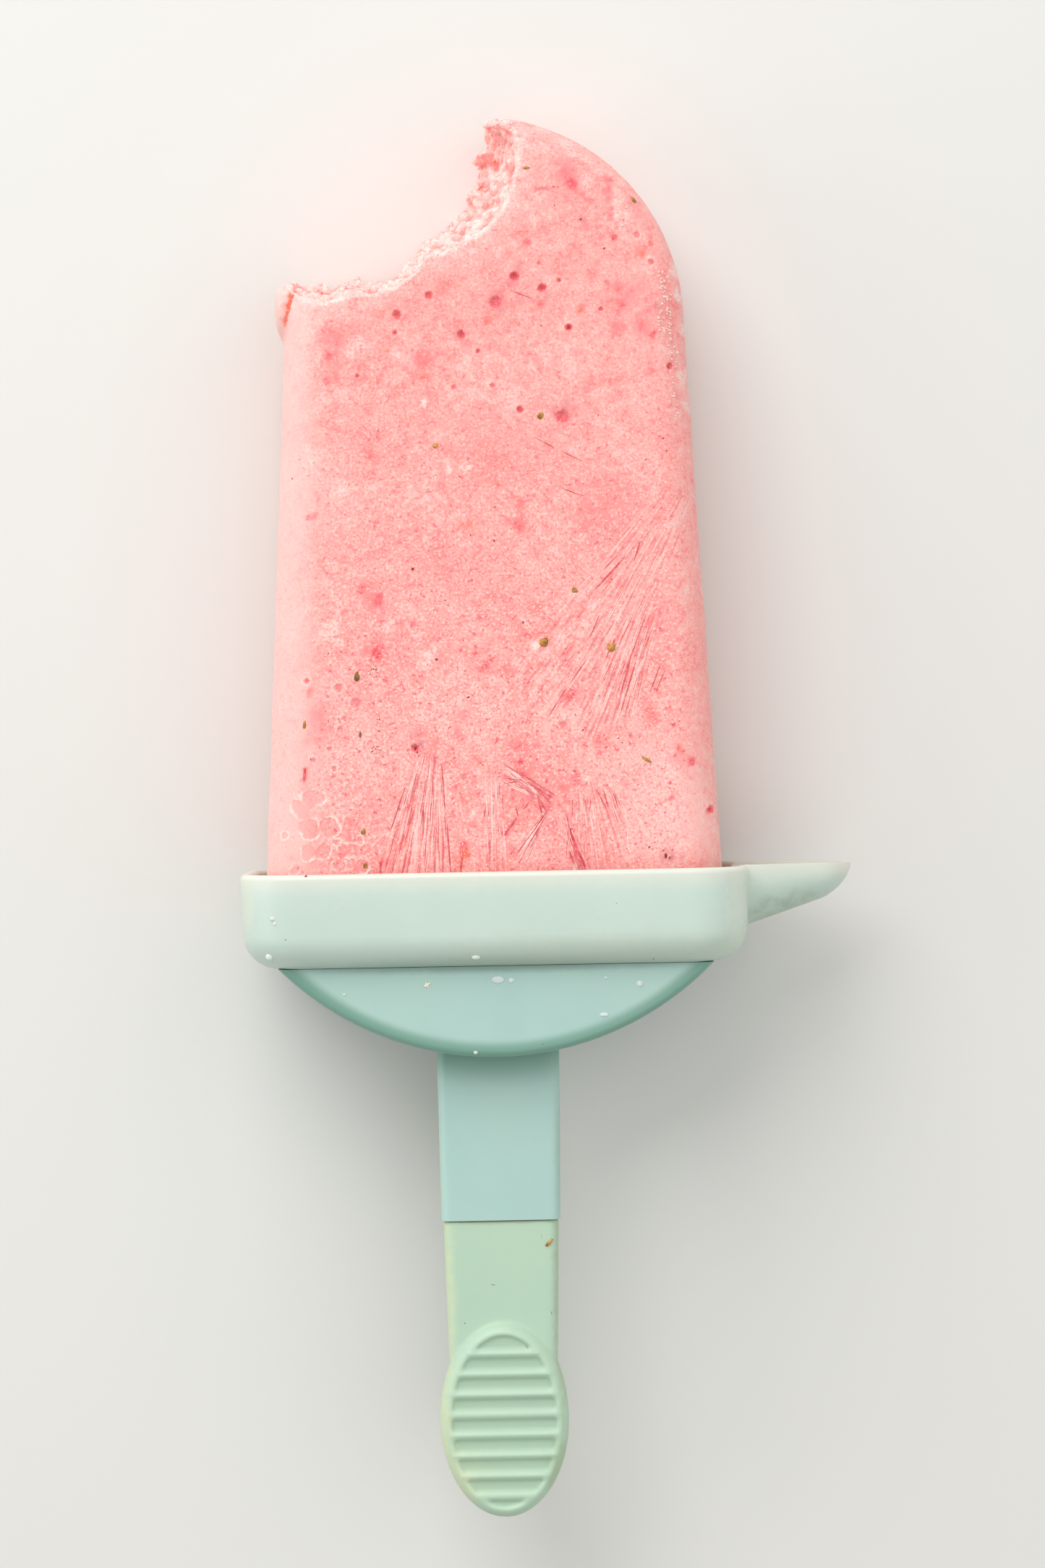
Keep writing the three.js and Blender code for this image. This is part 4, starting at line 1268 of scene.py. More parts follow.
def painted(layers, v):
    """Gives the skin at one point its relief, and its amounts of each tint."""
    place = v.co.copy()
    gap = past_bite(*place)
    below = face_height(place.x, place.y) - place.z
    wall = ramp(gap, *WALL_EDGE) * ramp(below, *WALL_BELOW)
    lip = ramp(gap, *LIP_EDGE) * ramp(below, *LIP_BELOW)
    face = ramp(v.normal.z, *FACE_TURN) * ramp(gap, *FACE_EDGE)
    torn, crag, grit = wall_relief(place)
    sunk, reddened = hollows_in_wall(place) if wall else (0.0, 0.0)
    in_crack, down_crack = crack_at(place)
    height = wall * (torn - HOLLOW_DEPTH * sunk) + LIP_BEAD * lip
    height += SKIN_SWELL * (uneven(place, 0.16) - 1) + SKIN_GRAIN * uneven(place, 1.3) * face
    height -= CRACK_DEPTH * in_crack * (1 - CRACK_SHALLOWS * down_crack)
    if face and place.z > 0:
        height += mark_face(layers, v, place, face)
    v[layers["amber"]] = max(v[layers["amber"]], in_crack * part_way(*CRACK_AMBER, down_crack))
    for name, share in WALL_REDNESS.items():
        v[layers[name]] = max(v[layers[name]], share * reddened * wall)
    # paler on the left rounded side: frost, and painted sheen
    v[layers["smooth"]] = ramp(place.x + FROST_AND_SHEEN_WANDER * uneven(place, 0.25), *FROST_AND_SHEEN_PLACE)
    wall_frost = wall * (WALL_FROST[0] + WALL_FROST[1] * grit + WALL_FROST[2] * crag)
    lip_frost = lip * (LIP_FROST[0] + LIP_FROST[1] * uneven(place, 0.8))
    by_lip = BY_LIP_FROST * ramp(gap, *BY_LIP_EDGE) * ramp(below, *BY_LIP_BELOW)
    frost = max(v[layers["frost"]], wall_frost, lip_frost, by_lip)
    v[layers["frost"]] = frost * (1 - in_crack) * (1 - reddened)
    # deeper red in the wall's low places: painted shade
    v[layers["crevice_shade"]] = wall * ramp(CREVICE_LOW[0] * grit + CREVICE_LOW[1] * crag, *CREVICE_EDGE)
    v.co += v.normal * height
    v.co.y = min(v.co.y, TIP_CENTRE + TIP_RADIUS - TIP_ROOM)


SPOTS = [(kind, *spot) for kind, group in FRUIT_SPOTS.items() for spot in group]
SPOT_TREE = kdtree.KDTree(len(SPOTS))
for spot_number, (_, across, along, *_) in enumerate(SPOTS):
    SPOT_TREE.insert((across, along, 0), spot_number)
SPOT_TREE.balance()


def on_lip(place):
    """Whether a place is on the sharp edge between the bite and the face."""
    return past_bite(*place) < LIP_WIDTH and abs(face_height(place.x, place.y) - place.z) < LIP_DEPTH / 2


frozen = pop_solid()
frozen.normal_update()
tint_layers = {name: frozen.verts.layers.float.new(name) for name in TINTS}
for v in frozen.verts:
    painted(tint_layers, v)
softened(frozen, [v for v in frozen.verts if on_lip(v.co)], LIP_SMOOTHING)
for v in frozen.verts:
    v.co.z *= thinned(v.co.y)
POP_SURFACE = BVHTree.FromBMesh(frozen)


FRUIT_SHIFT = (37.0, 11.0, 5.0)  # so that the fruit doesn't follow the clouds


def frozen_mottle():
    """The woolly pink clouds of frozen cream with mashed fruit in it, and its fine grains."""
    outputs = {name: "Float" for name in ("Tone", "Fruit", "Fine", "Speck", "Fleck")}
    group, start, end = new_group("frozen_mottle", {"Place": "Vector"}, outputs)
    place = start.outputs["Place"]
    fine = clouds(group, place, 0.55, 5.0, 0.8, 0.3)
    broad = clouds(group, place, 0.075, 3.0, 0.55, 0.3)
    speck = clouds(group, place, 2.8, 2.0, 0.7, 0.2)
    tone = maths(group, "ADD", times(group, fine, 0.58), times(group, broad, 0.25))
    tone = maths(group, "ADD", tone, times(group, speck, 0.17))
    elsewhere = put(group, "VectorMath", {0: place, 1: FRUIT_SHIFT}, operation="ADD").outputs[0]
    fruit = clouds(group, elsewhere, 0.32, 4.0, 0.72, 0.8)
    fleck = clouds(group, elsewhere, 1.5, 2.0, 0.6)
    made = {"Tone": tone, "Fruit": fruit, "Fine": fine, "Speck": speck, "Fleck": fleck}
    for name, value in made.items():
        group.links.new(value, end.inputs[name])
    return group


FAN_NUMBERS = ("Heading", "Half spread", "Start", "End", "Needles per radian")


def needle_fan():
    """Straight ice needles that spread from one point, with dark syrup grooves and pale ridges between."""
    sockets = {"Place": "Vector", "Apex": "Vector", **dict.fromkeys(FAN_NUMBERS, "Float")}
    group, start, end = new_group("needle_fan", sockets, {"Groove": "Float", "Ridge": "Float"})
    given = start.outputs
    apart = put(group, "VectorMath", {0: given["Place"], 1: given["Apex"]}, operation="SUBTRACT").outputs[0]
    back = times(group, given["Heading"], -1.0)
    turned = put(group, "VectorRotate", {"Vector": apart, "Angle": back}, rotation_type="Z_AXIS").outputs[0]
    sides = put(group, "SeparateXYZ", {0: turned}).outputs
    angle = maths(group, "ARCTAN2", sides["Y"], sides["X"])
    flat = put(group, "CombineXYZ", {"X": sides["X"], "Y": sides["Y"]}).outputs[0]
    radius = put(group, "VectorMath", {0: flat}, operation="LENGTH").outputs["Value"]
    across = times(group, angle, given["Needles per radian"])
    along = times(group, radius, 0.16)
    lanes = put(group, "CombineXYZ", {"X": across, "Y": along, "Z": given["Heading"]}).outputs[0]
    lines = clouds(group, lanes, 1.0, 2.0, 0.7)
    narrow = times(group, given["Half spread"], 0.6)
    window = eased(group, maths(group, "ABSOLUTE", angle), given["Half spread"], narrow)
    past_start = maths(group, "ADD", times(group, given["Start"], 1.2), 0.6)
    before_end = maths(group, "SUBTRACT", given["End"], 3.0)
    window = times(group, window, eased(group, radius, given["Start"], past_start))
    window = times(group, window, eased(group, radius, given["End"], before_end))
    groove = times(group, eased(group, lines, 0.46, 0.36), window)
    ridge = times(group, eased(group, lines, 0.52, 0.62), window)
    group.links.new(groove, end.inputs["Groove"])
    group.links.new(ridge, end.inputs["Ridge"])
    return group


FROZEN_MOTTLE = frozen_mottle()
NEEDLE_FAN = needle_fan()
NEEDLE_FANS = (  # apex across and along, heading and half spread in degrees, start, end, needles, strength
    (-7.2, 24.8, -98, 13, 8, 28, 84, 1.0),
    (0.2, 60, -90, 1.8, 44, 63, 260, 0.5),
    (8.1, 8.5, 145, 10, 0.5, 9.5, 40, 0.9),
    (8.1, 8.5, -125, 13, 1, 10, 40, 0.8),
    (9.0, 9.5, -73, 9, 2.5, 12, 60, 1.0),
    (11, 24, -80, 15, 11, 25, 90, 0.5),
    (33, 62, -121, 12, 12, 50, 75, 0.55),
    (28, 54, -110, 7, 19, 38, 85, 0.8),
)
CREAM_MID = (1.0, 0.43, 0.40, 1)
CREAM_DEEP = (0.97, 0.29, 0.275, 1)
CREAM_PALE = (1.0, 0.57, 0.53, 1)
# frost and painted sheen on the left rounded side
FROST_AND_SHEEN_SIDE = (0.98, 0.60, 0.555, 1)
# painted shade in the bitten wall's low places
CREVICE_SHADE = (0.97, 0.23, 0.21, 1)
BERRY_RED = (0.89, 0.11, 0.14, 1)
AMBER = (0.90, 0.165, 0.095, 1)
DARK_HOLLOW = (0.50, 0.035, 0.045, 1)
HOLLOW_SPARK = (0.85, 0.22, 0.24, 1)
PLUM = (0.68, 0.22, 0.25, 1)
FROST = (0.98, 0.72, 0.67, 1)
SYRUP = (0.78, 0.14, 0.155, 1)


ICE_SOAK = {"Radius": (1.0, 0.4, 0.33), "Scale": 0.0009}
ICE_BENDING = 1.33
CREAM_SOAK = 0.5
CREAM_SHEEN = (0.42, 0.58)
CREAM_BUMP = 0.00012
PAINTED_PATCHES = (("rosy", 0.9, CREAM_DEEP), ("pale", 0.9, CREAM_PALE), ("smooth", 0.75, FROST_AND_SHEEN_SIDE))
CREAM_GRAINS = (  # which mottle, where a grain starts and is full in it, strength and colour
    ("Speck", 0.47, 0.33, 0.58, CREAM_DEEP),
    ("Speck", 0.53, 0.66, 0.5, FROST),
    ("Fleck", 0.6, 0.7, 0.5, BERRY_RED),
)
GRAINY_ALONG = (90.0, 15.0, 0.65, 1.5)  # finer marks grow from one strength at the tip to another at the tray
GRAINY_ACROSS = (27.5, 22.0, 0.25, 1.0)  # and are few on the round sides
GRAINY_MIDDLE = 1.5
FRONT_HEIGHTS = (4.0, 7.0)
GROOVE_STRENGTH = 0.85
RIDGE_STRENGTH = 0.6


def tint(tree, name):
    return put(tree, "Attribute", attribute_name=name).outputs["Fac"]


def icy(shader, soak):
    """What all the frozen cream has in common: it shines little, and light soaks a little way in."""
    shader.inputs["IOR"].default_value = ICE_BENDING
    shader.inputs["Specular IOR Level"].default_value = 0.2
    soaked(shader, {"Weight": soak, **ICE_SOAK})


def mottled(tree, place):
    return put(tree, "Group", {"Place": place}, node_tree=FROZEN_MOTTLE).outputs


def fan_drawn(tree, colour, place, shown, fan):
    """The colour with the grooves and ridges of one fan of needles drawn on it."""
    x, y, heading, half_spread, start, end, needles, strength = fan
    numbers = (math.radians(heading), math.radians(half_spread), start, end, needles)
    fan_inputs = {"Place": place, "Apex": (x, y, 0), **dict(zip(FAN_NUMBERS, numbers))}
    lines = put(tree, "Group", fan_inputs, node_tree=NEEDLE_FAN).outputs
    share = times(tree, shown, strength)
    colour = mixed(tree, times(tree, times(tree, lines["Groove"], share), GROOVE_STRENGTH), colour, SYRUP)
    return mixed(tree, times(tree, times(tree, lines["Ridge"], share), RIDGE_STRENGTH), colour, FROST)


def strawberry_cream():
    """The frozen cream: clouds of pink, then patches, spots, fine grains, holes and needles over them."""
    material, tree, shader = new_material("strawberry_cream")
    place = own_place(tree)
    mottle = mottled(tree, place)
    colour = mixed(tree, eased(tree, mottle["Tone"], 0.38, 0.5), CREAM_DEEP, CREAM_MID)
    colour = mixed(tree, eased(tree, mottle["Tone"], 0.5, 0.6), colour, CREAM_PALE)
    for name, strength, paint in PAINTED_PATCHES:
        colour = mixed(tree, times(tree, tint(tree, name), strength), colour, paint)
    # less fruit colour on the left side, under its frost and painted sheen
    off_side = maths(tree, "SUBTRACT", 0.4, times(tree, tint(tree, "smooth"), 0.3))
    fruit = times(tree, eased(tree, mottle["Fruit"], 0.57, 0.72), off_side)
    colour = mixed(tree, fruit, colour, BERRY_RED)
    frayed = times(tree, maths(tree, "ADD", mottle["Fine"], mottle["Speck"]), 3.6)
    frayed = maths(tree, "SUBTRACT", frayed, 2.6)
    for name, paint in (("plum", PLUM), ("berry", BERRY_RED), ("amber", AMBER)):
        colour = mixed(tree, times(tree, tint(tree, name), frayed, clamp=True), colour, paint)
    sides = put(tree, "SeparateXYZ", {0: place}).outputs
    to_side = maths(tree, "ABSOLUTE", maths(tree, "SUBTRACT", sides["X"], GRAINY_MIDDLE))
    grainy = times(tree, eased(tree, sides["Y"], *GRAINY_ALONG), eased(tree, to_side, *GRAINY_ACROSS))
    for kind, starts, full, strength, paint in CREAM_GRAINS:
        amount = times(tree, eased(tree, mottle[kind], starts, full), strength)
        colour = mixed(tree, times(tree, amount, grainy), colour, paint)
    in_hole = mixed(tree, eased(tree, mottle["Speck"], 0.42, 0.6), DARK_HOLLOW, HOLLOW_SPARK)
    for name, paint in (("hollow", in_hole), ("frost", FROST)):
        colour = mixed(tree, times(tree, tint(tree, name), frayed, clamp=True), colour, paint)
    # painted shade in the wall's low places
    colour = mixed(tree, times(tree, tint(tree, "crevice_shade"), 0.8), colour, CREVICE_SHADE)
    front = eased(tree, sides["Z"], *FRONT_HEIGHTS)
    for fan in NEEDLE_FANS:
        colour = fan_drawn(tree, colour, place, front, fan)
    tree.links.new(colour, shader.inputs["Base Color"])
    sheen = eased(tree, mottle["Fine"], 0.3, 0.7, *CREAM_SHEEN)
    dulled = times(tree, tint(tree, "frost"), 0.1)
    tree.links.new(maths(tree, "ADD", sheen, dulled), shader.inputs["Roughness"])
    bump = put(tree, "Bump", {"Height": mottle["Fine"], "Strength": 0.5, "Distance": CREAM_BUMP})
    tree.links.new(bump.outputs["Normal"], shader.inputs["Normal"])
    icy(shader, CREAM_SOAK)
    return material


pop = piece_of(frozen, "frozen_pop", strawberry_cream())
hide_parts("pop")

# ---- Ice crumbs ----
# Grains of frozen cream that the teeth broke loose, clinging all over the bitten wall, the larger ones along
# its lower edge. Each one is a small uneven lump.

CRUMB_COUNT = 900
CRUMB_SIZES = (0.13, 0.62)
CRUMB_SHARES = (0.06, 0.99)
CRUMB_SUNK = 0.35
CRUMB_REACH = 1.5
CRUMB_SOAK = 0.3


def lump(bm, place, half_sizes, turn, rounds=1):
    """A small ball, flattened and turned. Gives back its points."""
    laid = Matrix.Translation(place) @ turn @ Matrix.Diagonal((*half_sizes, 1))
    return bmesh.ops.create_icosphere(bm, subdivisions=rounds, radius=1, matrix=laid)["verts"]


def any_turn(draw):
    """A turn about all three ways at random."""
    return Euler([draw.uniform(-math.pi, math.pi) for _ in range(3)]).to_matrix().to_4x4()


def ice_crumbs():
    """Crumbs at random over the tooth marks, larger towards the back."""
    draw = random.Random(41)
    bm = bmesh.new()
    widths = [front[2] for front, _ in TOOTH_MARKS]
    for _ in range(CRUMB_COUNT):
        front, back = draw.choices(TOOTH_MARKS, widths)[0]
        share = draw.uniform(*CRUMB_SHARES)
        x, y, radius = between(front, back, share)
        angle = draw.uniform(-math.pi, math.pi)
        size = part_way(*CRUMB_SIZES, share * draw.random() ** 2)
        turn = any_turn(draw)
        flat = draw.uniform(0.6, 0.9)
        origin = Vector((x, y, POP_HALF_THICKNESS * (1 - 2 * share) * thinned(y)))
        outward = Vector((math.cos(angle), math.sin(angle), 0))
        found, normal, _, _ = POP_SURFACE.ray_cast(origin, outward, radius + CRUMB_REACH)
        if found:
            lump(bm, found + normal * size * (1 - 2 * CRUMB_SUNK), (size, size * flat, size * flat), turn)
    return bm


def crumb_ice():
    """Frozen cream too, but whiter, each crumb of its own pink."""
    material, tree, shader = new_material("crumb_ice")
    mottle = mottled(tree, own_place(tree))
    colour = mixed(tree, eased(tree, mottle["Fine"], 0.4, 0.62), CREAM_MID, FROST)
    tree.links.new(colour, shader.inputs["Base Color"])
    shader.inputs["Roughness"].default_value = 0.45
    icy(shader, CRUMB_SOAK)
    return material


piece_of(ice_crumbs(), "ice_crumbs", crumb_ice())

# ---- Strawberry seeds ----
# Real seeds out of the mashed fruit, frozen in flush with the face: flat drops, amber to olive brown.

SEED_TAPER = 0.35
SEED_THICKNESS = 0.8  # of the seed's width
SEED_PIT_DEPTH = 0.00005
SEED_BROWN = (0.19, 0.10, 0.018, 1)
SEED_AMBER = (0.47, 0.20, 0.025, 1)
SEED_LIGHT = (0.68, 0.36, 0.08, 1)
SEEDS = (  # place across and along, half length, half width, turn in radians, how much stands free
    (6.1, 95.0, 0.5, 0.2, 0.05, 0.4),
    (20.4, 90.6, 0.6, 0.42, 2.1, 0.12),
    (-6.9, 57.6, 0.42, 0.36, 0.5, 0.3),
    (7.4, 61.4, 0.7, 0.58, 0.9, 0.16),
    (11.6, 37.7, 0.45, 0.33, -0.5, 0.4),
    (7.3, 30.8, 0.68, 0.6, 0.9, 0.4),
    (16.4, 30.0, 0.68, 0.58, 1.3, 0.4),
    (-18.1, 26.6, 0.65, 0.36, 1.5, 0.5),
    (-25.3, 20.2, 0.55, 0.22, 1.45, 0.5),
    (-17.8, 18.7, 0.5, 0.18, 1.5, 0.35),
    (-17.6, 5.6, 0.6, 0.4, 1.1, 0.18),
    (-17.4, 1.0, 0.55, 0.38, 1.5, 0.2),
    (20.9, 14.6, 0.85, 0.21, -0.58, 0.35),
    (6.6, -51.6, 0.75, 0.2, 0.75, 0.9),
)


def seeds():
    """Flat drops, pointed at one end. One has dropped on the grip."""
    bm = bmesh.new()
    for x, y, half_length, half_width, turn, free in SEEDS:
        place = on_top(x, y)
        thickness = SEED_THICKNESS * half_width
        place.z += thickness * (2 * free - 1)
        points = lump(bm, (0, 0, 0), (half_length, half_width, thickness), Matrix.Identity(4), 3)
        for v in points:
            v.co.y *= 1 - SEED_TAPER * v.co.x / half_length
        laid = Matrix.Translation(place) @ Matrix.Rotation(turn, 4, "Z")
        bmesh.ops.transform(bm, matrix=laid, verts=points)
    return bm


def seed_skin():
    """Amber with olive and brown patches, and fine pits."""
    material, tree, shader = new_material("seed_skin")
    place = own_place(tree)
    patches = clouds(tree, place, 1.1, 3.0, 0.6, 0.5)
    colour = mixed(tree, eased(tree, patches, 0.4, 0.5), SEED_BROWN, SEED_AMBER)
    colour = mixed(tree, eased(tree, patches, 0.54, 0.66), colour, SEED_LIGHT)
    tree.links.new(colour, shader.inputs["Base Color"])
    pits = clouds(tree, place, 9.0, 2.0, 0.6)
    tree.links.new(eased(tree, pits, 0.3, 0.7, 0.35, 0.55), shader.inputs["Roughness"])
    bump = put(tree, "Bump", {"Height": pits, "Strength": 0.5, "Distance": SEED_PIT_DEPTH})
    tree.links.new(bump.outputs["Normal"], shader.inputs["Normal"])
    return material


piece_of(seeds(), "strawberry_seeds", seed_skin())

# ---- Ice needles and syrup streaks ----
# Long thin crystals that grew through the cream while the pop froze, most of them near the tray. They lie in
# the face: pale ones a hair proud of it, and dark lines of strawberry syrup squeezed out between them.

NEEDLE_WIDTHS = (0.08, 0.19)
CRYSTAL_THICKNESS = 0.1
NEEDLE_PROUD = 0.02
STREAK_PROUD = 0.012
LARGE_STREAK_PROUD = 0.03
NEEDLES_IN_FAN = (26, 16, 16, 22, 8, 18, 24, 18)
STREAKS_IN_FAN = (24, 8, 16, 14, 8, 10, 14, 14)
STREAK_WIDTHS = (0.08, 0.17)
FAN_LONGEST = 30
STREAKS = (  # from and to, across and along, and width
    (-25.3, 14.5, -25.5, 12.4, 0.5),
    (-11.7, 11.9, -14.1, 5.2, 0.24),
    (-9.4, 9.5, -9.6, 4.0, 0.22),
    (-6.9, 15.0, -6.5, 8.0, 0.22),
    (-6.3, 6.9, -5.9, -0.4, 0.26),
    (-15.2, 2.2, -15.5, -0.4, 0.4),
    (-4.2, 2.9, -4.6, -0.3, 0.36),
    (-1.0, 9.0, -1.3, 6.9, 0.2),
    (14.9, 34.5, 13.4, 31.0, 0.2),
    (18.7, 42.4, 14.2, 37.6, 0.36),
    (17.6, 42.5, 15.4, 40.3, 0.2),
    (20.6, 44.4, 19.6, 41.3, 0.24),
    (6.3, 58.6, 9.6, 56.8, 0.15),
    (9.6, 56.8, 13.2, 55.0, 0.15),
    (9.9, 51.6, 13.4, 50.3, 0.18),
    (3.4, 78.5, 7.0, 77.1, 0.14),
    (9.8, 7.8, 10.3, 5.4, 0.2),
    (10.2, 6.0, 11.4, 1.2, 0.42),
    (10.6, 4.6, 12.3, -0.1, 0.4),
    (10.2, 4.4, 11.7, 0.1, 0.34),
    (10.1, 2.6, 10.9, 0.4, 0.5),
    (11.4, 2.6, 12.4, 0.1, 0.34),
    (1.4, 14.5, 4.6, 12.5, 0.26),
    (4.2, 12.8, 8.6, 9.9, 0.34),
    (4.4, 12.1, 8.1, 9.6, 0.36),
    (1.3, 12.5, 4.4, 12.1, 0.2),
    (1.3, 11.7, 3.9, 12.1, 0.18),
    (5.9, 10.7, 6.6, 7.4, 0.32),
    (6.1, 9.9, 7.2, 7.8, 0.3),
    (6.5, 10.4, 7.9, 8.9, 0.26),
    (8.1, 9.1, 5.2, 5.0, 0.24),
    (5.6, 5.6, 3.0, 2.2, 0.2),
    (7.6, 8.1, 3.5, 1.5, 0.2),
    (3.3, 7.3, 1.2, 4.5, 0.42),
    (3.0, 8.8, 3.4, 7.0, 0.18),
    (3.9, 8.0, 5.4, 9.8, 0.18),
    (21.2, 34.4, 19.0, 28.6, 0.24),
    (19.2, 29.4, 17.2, 22.3, 0.34),
    (19.8, 28.5, 17.3, 20.5, 0.2),
    (22.9, 27.3, 21.4, 23.5, 0.2),
    (23.6, 26.8, 22.2, 23.6, 0.16),
    (13.2, 28.6, 10.4, 24.8, 0.14),
    (10.4, 24.8, 7.7, 20.7, 0.18),
    (13.2, 9.5, 13.0, 7.6, 0.16),
    (13.9, 11.0, 15.3, 8.0, 0.16),
    (14.9, 10.7, 15.6, 8.2, 0.14),
    (16.4, 10.2, 16.9, 8.0, 0.14),
)
LONG_NEEDLES = (  # the same
    (14.3, 29.6, 9.6, 23.2, 0.18),
    (12.8, 28.9, 8.2, 21.2, 0.13),
    (7.9, 8.7, 3.3, 1.9, 0.22),
    (9.9, 7.4, 10.8, 4.2, 0.16),
    (10.7, 4.0, 11.5, 0.7, 0.2),
    (1.7, 13.9, 4.2, 12.4, 0.22),
    (18.2, 6.9, 18.0, 1.4, 0.16),
    (18.6, 27.9, 17.4, 21.4, 0.16),
    (21.0, 29.4, 18.5, 22.4, 0.14),
    (-4.9, 11.4, -3.6, 4.2, 0.14),
)


def crystal(bm, first, last, width, proud):
    """A thin pointed crystal that follows the face from first to last, a little proud of it."""
    first = Vector((*first, 0))
    last = Vector((*last, 0))
    along = last - first
    laid = Matrix.Translation((first + last) / 2) @ along.to_track_quat("X", "Z").to_matrix().to_4x4()
    size = Matrix.Diagonal((along.length / 2, width / 2, CRYSTAL_THICKNESS / 2, 1))
    shaped = laid @ size @ Matrix.Rotation(math.pi / 2, 4, "Y")
    points = bmesh.ops.create_uvsphere(bm, u_segments=6, v_segments=12, radius=1, matrix=shaped)
    for v in points["verts"]:
        v.co.z += on_top(v.co.x, v.co.y).z + proud - CRYSTAL_THICKNESS / 2


def crystals(bm, lines, proud):
    """A crystal along each line of a list."""
    for from_x, from_y, to_x, to_y, width in lines:
        crystal(bm, (from_x, from_y), (to_x, to_y), width, proud)


def in_fans(bm, draw, counts, widths, proud):
    """Crystals at random within each fan of needles."""
    for (x, y, heading, half_spread, start, end, _, _), count in zip(NEEDLE_FANS, counts):
        for _ in range(count):
            angle = math.radians(heading + draw.uniform(-0.9, 0.9) * half_spread)
            reach = min(end - start, FAN_LONGEST)
            near = start + reach * draw.uniform(0.1, 0.6)
            far = min(near + reach * draw.uniform(0.12, 0.4), end)
            width = draw.uniform(*widths)
            aim = (math.cos(angle), math.sin(angle))
            ends = [(x + r * aim[0], y + r * aim[1]) for r in (near, far)]
            if all(abs(across) < RIM_HALF_WIDTH - POP_EDGE for across, _ in ends):
                crystal(bm, *ends, width, proud)


def ice_needles():
    bm = bmesh.new()
    in_fans(bm, random.Random(7), NEEDLES_IN_FAN, NEEDLE_WIDTHS, NEEDLE_PROUD)
    crystals(bm, LONG_NEEDLES, NEEDLE_PROUD)
    return bm


def syrup_streaks():
    bm = bmesh.new()
    in_fans(bm, random.Random(19), STREAKS_IN_FAN, STREAK_WIDTHS, STREAK_PROUD)
    crystals(bm, STREAKS, LARGE_STREAK_PROUD)
    return bm


def two_toned(name, first, second, roughness):
    """For small things in the ice or on the plastic: two tones that cloud into each other."""
    material, tree, shader = new_material(name)
    mottle = mottled(tree, own_place(tree))
    colour = mixed(tree, eased(tree, mottle["Fine"], 0.4, 0.6), (*first, 1), (*second, 1))
    tree.links.new(colour, shader.inputs["Base Color"])
    shader.inputs["Roughness"].default_value = roughness
    icy(shader, 0)
    return material


NEEDLE_ICE = two_toned("needle_ice", (0.98, 0.60, 0.56), (0.99, 0.72, 0.67), 0.4)
piece_of(ice_needles(), "ice_needles", NEEDLE_ICE)
SYRUP_ICE = two_toned("syrup", (0.68, 0.07, 0.085), (0.88, 0.22, 0.225), 0.4)
piece_of(syrup_streaks(), "syrup_streaks", SYRUP_ICE)

# ---- Fruit specks ----
# Dark red-brown specks of fruit skin in the ice, a few of them in rings: tiny flat scraps.

SPECKS = (  # place across and along, and radius
    (13.3, 87.9, 0.2),
    (16.4, 83.9, 0.17),
    (17.7, 85.2, 0.14),
    (10.3, 92.3, 0.1),
    (9.7, 92.4, 0.12),
    (-26.4, 53.6, 0.16),
    (-10.3, 41.0, 0.24),
    (0.8, 44.6, 0.2),
    (-7.3, 28.7, 0.2),
    (-3.1, 23.5, 0.2),
    (12.3, 18.8, 0.14),
    (17.1, 17.6, 0.13),
    (17.6, 17.0, 0.12),
    (11.3, 20.9, 0.12),
    (4.5, 33.5, 0.18),
    (-10.4, 16.7, 0.3),
    (-10.1, 16.2, 0.18),
    (-21.9, 29.8, 0.15),
    (23.2, 1.6, 0.3),
    (23.7, 1.3, 0.2),
    (22.9, 2.3, 0.14),
    (24.1, 2.4, 0.12),
    (21.0, 2.8, 0.2),
    (-25.3, -0.2, 0.25),
)
SPECK_RINGS = (  # rings of specks round old bubbles: place, half width, half length and number
    (-15.8, 27.0, 0.5, 0.6, 8),
    (-15.3, 20.0, 0.25, 0.9, 6),
    (-15.7, 16.6, 0.6, 0.5, 9),
    (-21.3, 20.6, 0.8, 0.4, 7),
)
SPECK_COUNT = 110
SPECK_SIZES = (0.05, 0.13)
SPECK_RING_SIZES = (0.07, 0.12)
SPECK_FIELD = ((-26, 26), (1, 92))
SPECK_THICKNESS = 0.3
SPECK_FROM_BITE = 2
SPECK_BELOW_FACE = 0.5


def on_flat_face(x, y):
    """Whether a place is on the face, away from the bite and from the rounded edge."""
    from_bite = past_bite(x, y, POP_HALF_THICKNESS)
    return from_bite > SPECK_FROM_BITE and face_height(x, y) > POP_HALF_THICKNESS - SPECK_BELOW_FACE


def fruit_specks():
    """The specks of the list, those in rings, and small ones at random over the face."""
    draw = random.Random(5)
    bm = bmesh.new()
    scattered = []
    for x, y, across, along, count in SPECK_RINGS:
        for step in range(count):
            angle = math.tau * step / count + draw.uniform(-0.2, 0.2)
            place = (x + across * math.cos(angle), y + along * math.sin(angle))
            scattered.append((*place, draw.uniform(*SPECK_RING_SIZES)))
    for _ in range(SPECK_COUNT):
        size = part_way(*SPECK_SIZES, draw.random() ** 2)
        place = [draw.uniform(*reach) for reach in SPECK_FIELD]
        if on_flat_face(*place):
            scattered.append((*place, size))
    for x, y, radius in (*SPECKS, *scattered):
        turn = Matrix.Rotation(draw.uniform(0, math.pi), 4, "Z")
        shape = (draw.uniform(1, 1.4), draw.uniform(0.6, 0.9), SPECK_THICKNESS)
        lump(bm, on_top(x, y), [radius * size for size in shape], turn)
    return bm


FRUIT_SKIN = two_toned("fruit_skin", (0.30, 0.03, 0.035), (0.52, 0.09, 0.09), 0.5)
piece_of(fruit_specks(), "fruit_specks", FRUIT_SKIN)

# ---- Frost grains ----
# Loose pinkish-white grains of frost where the pop's right edge has dried out and in patches on its left:
# tiny lumps on the face.

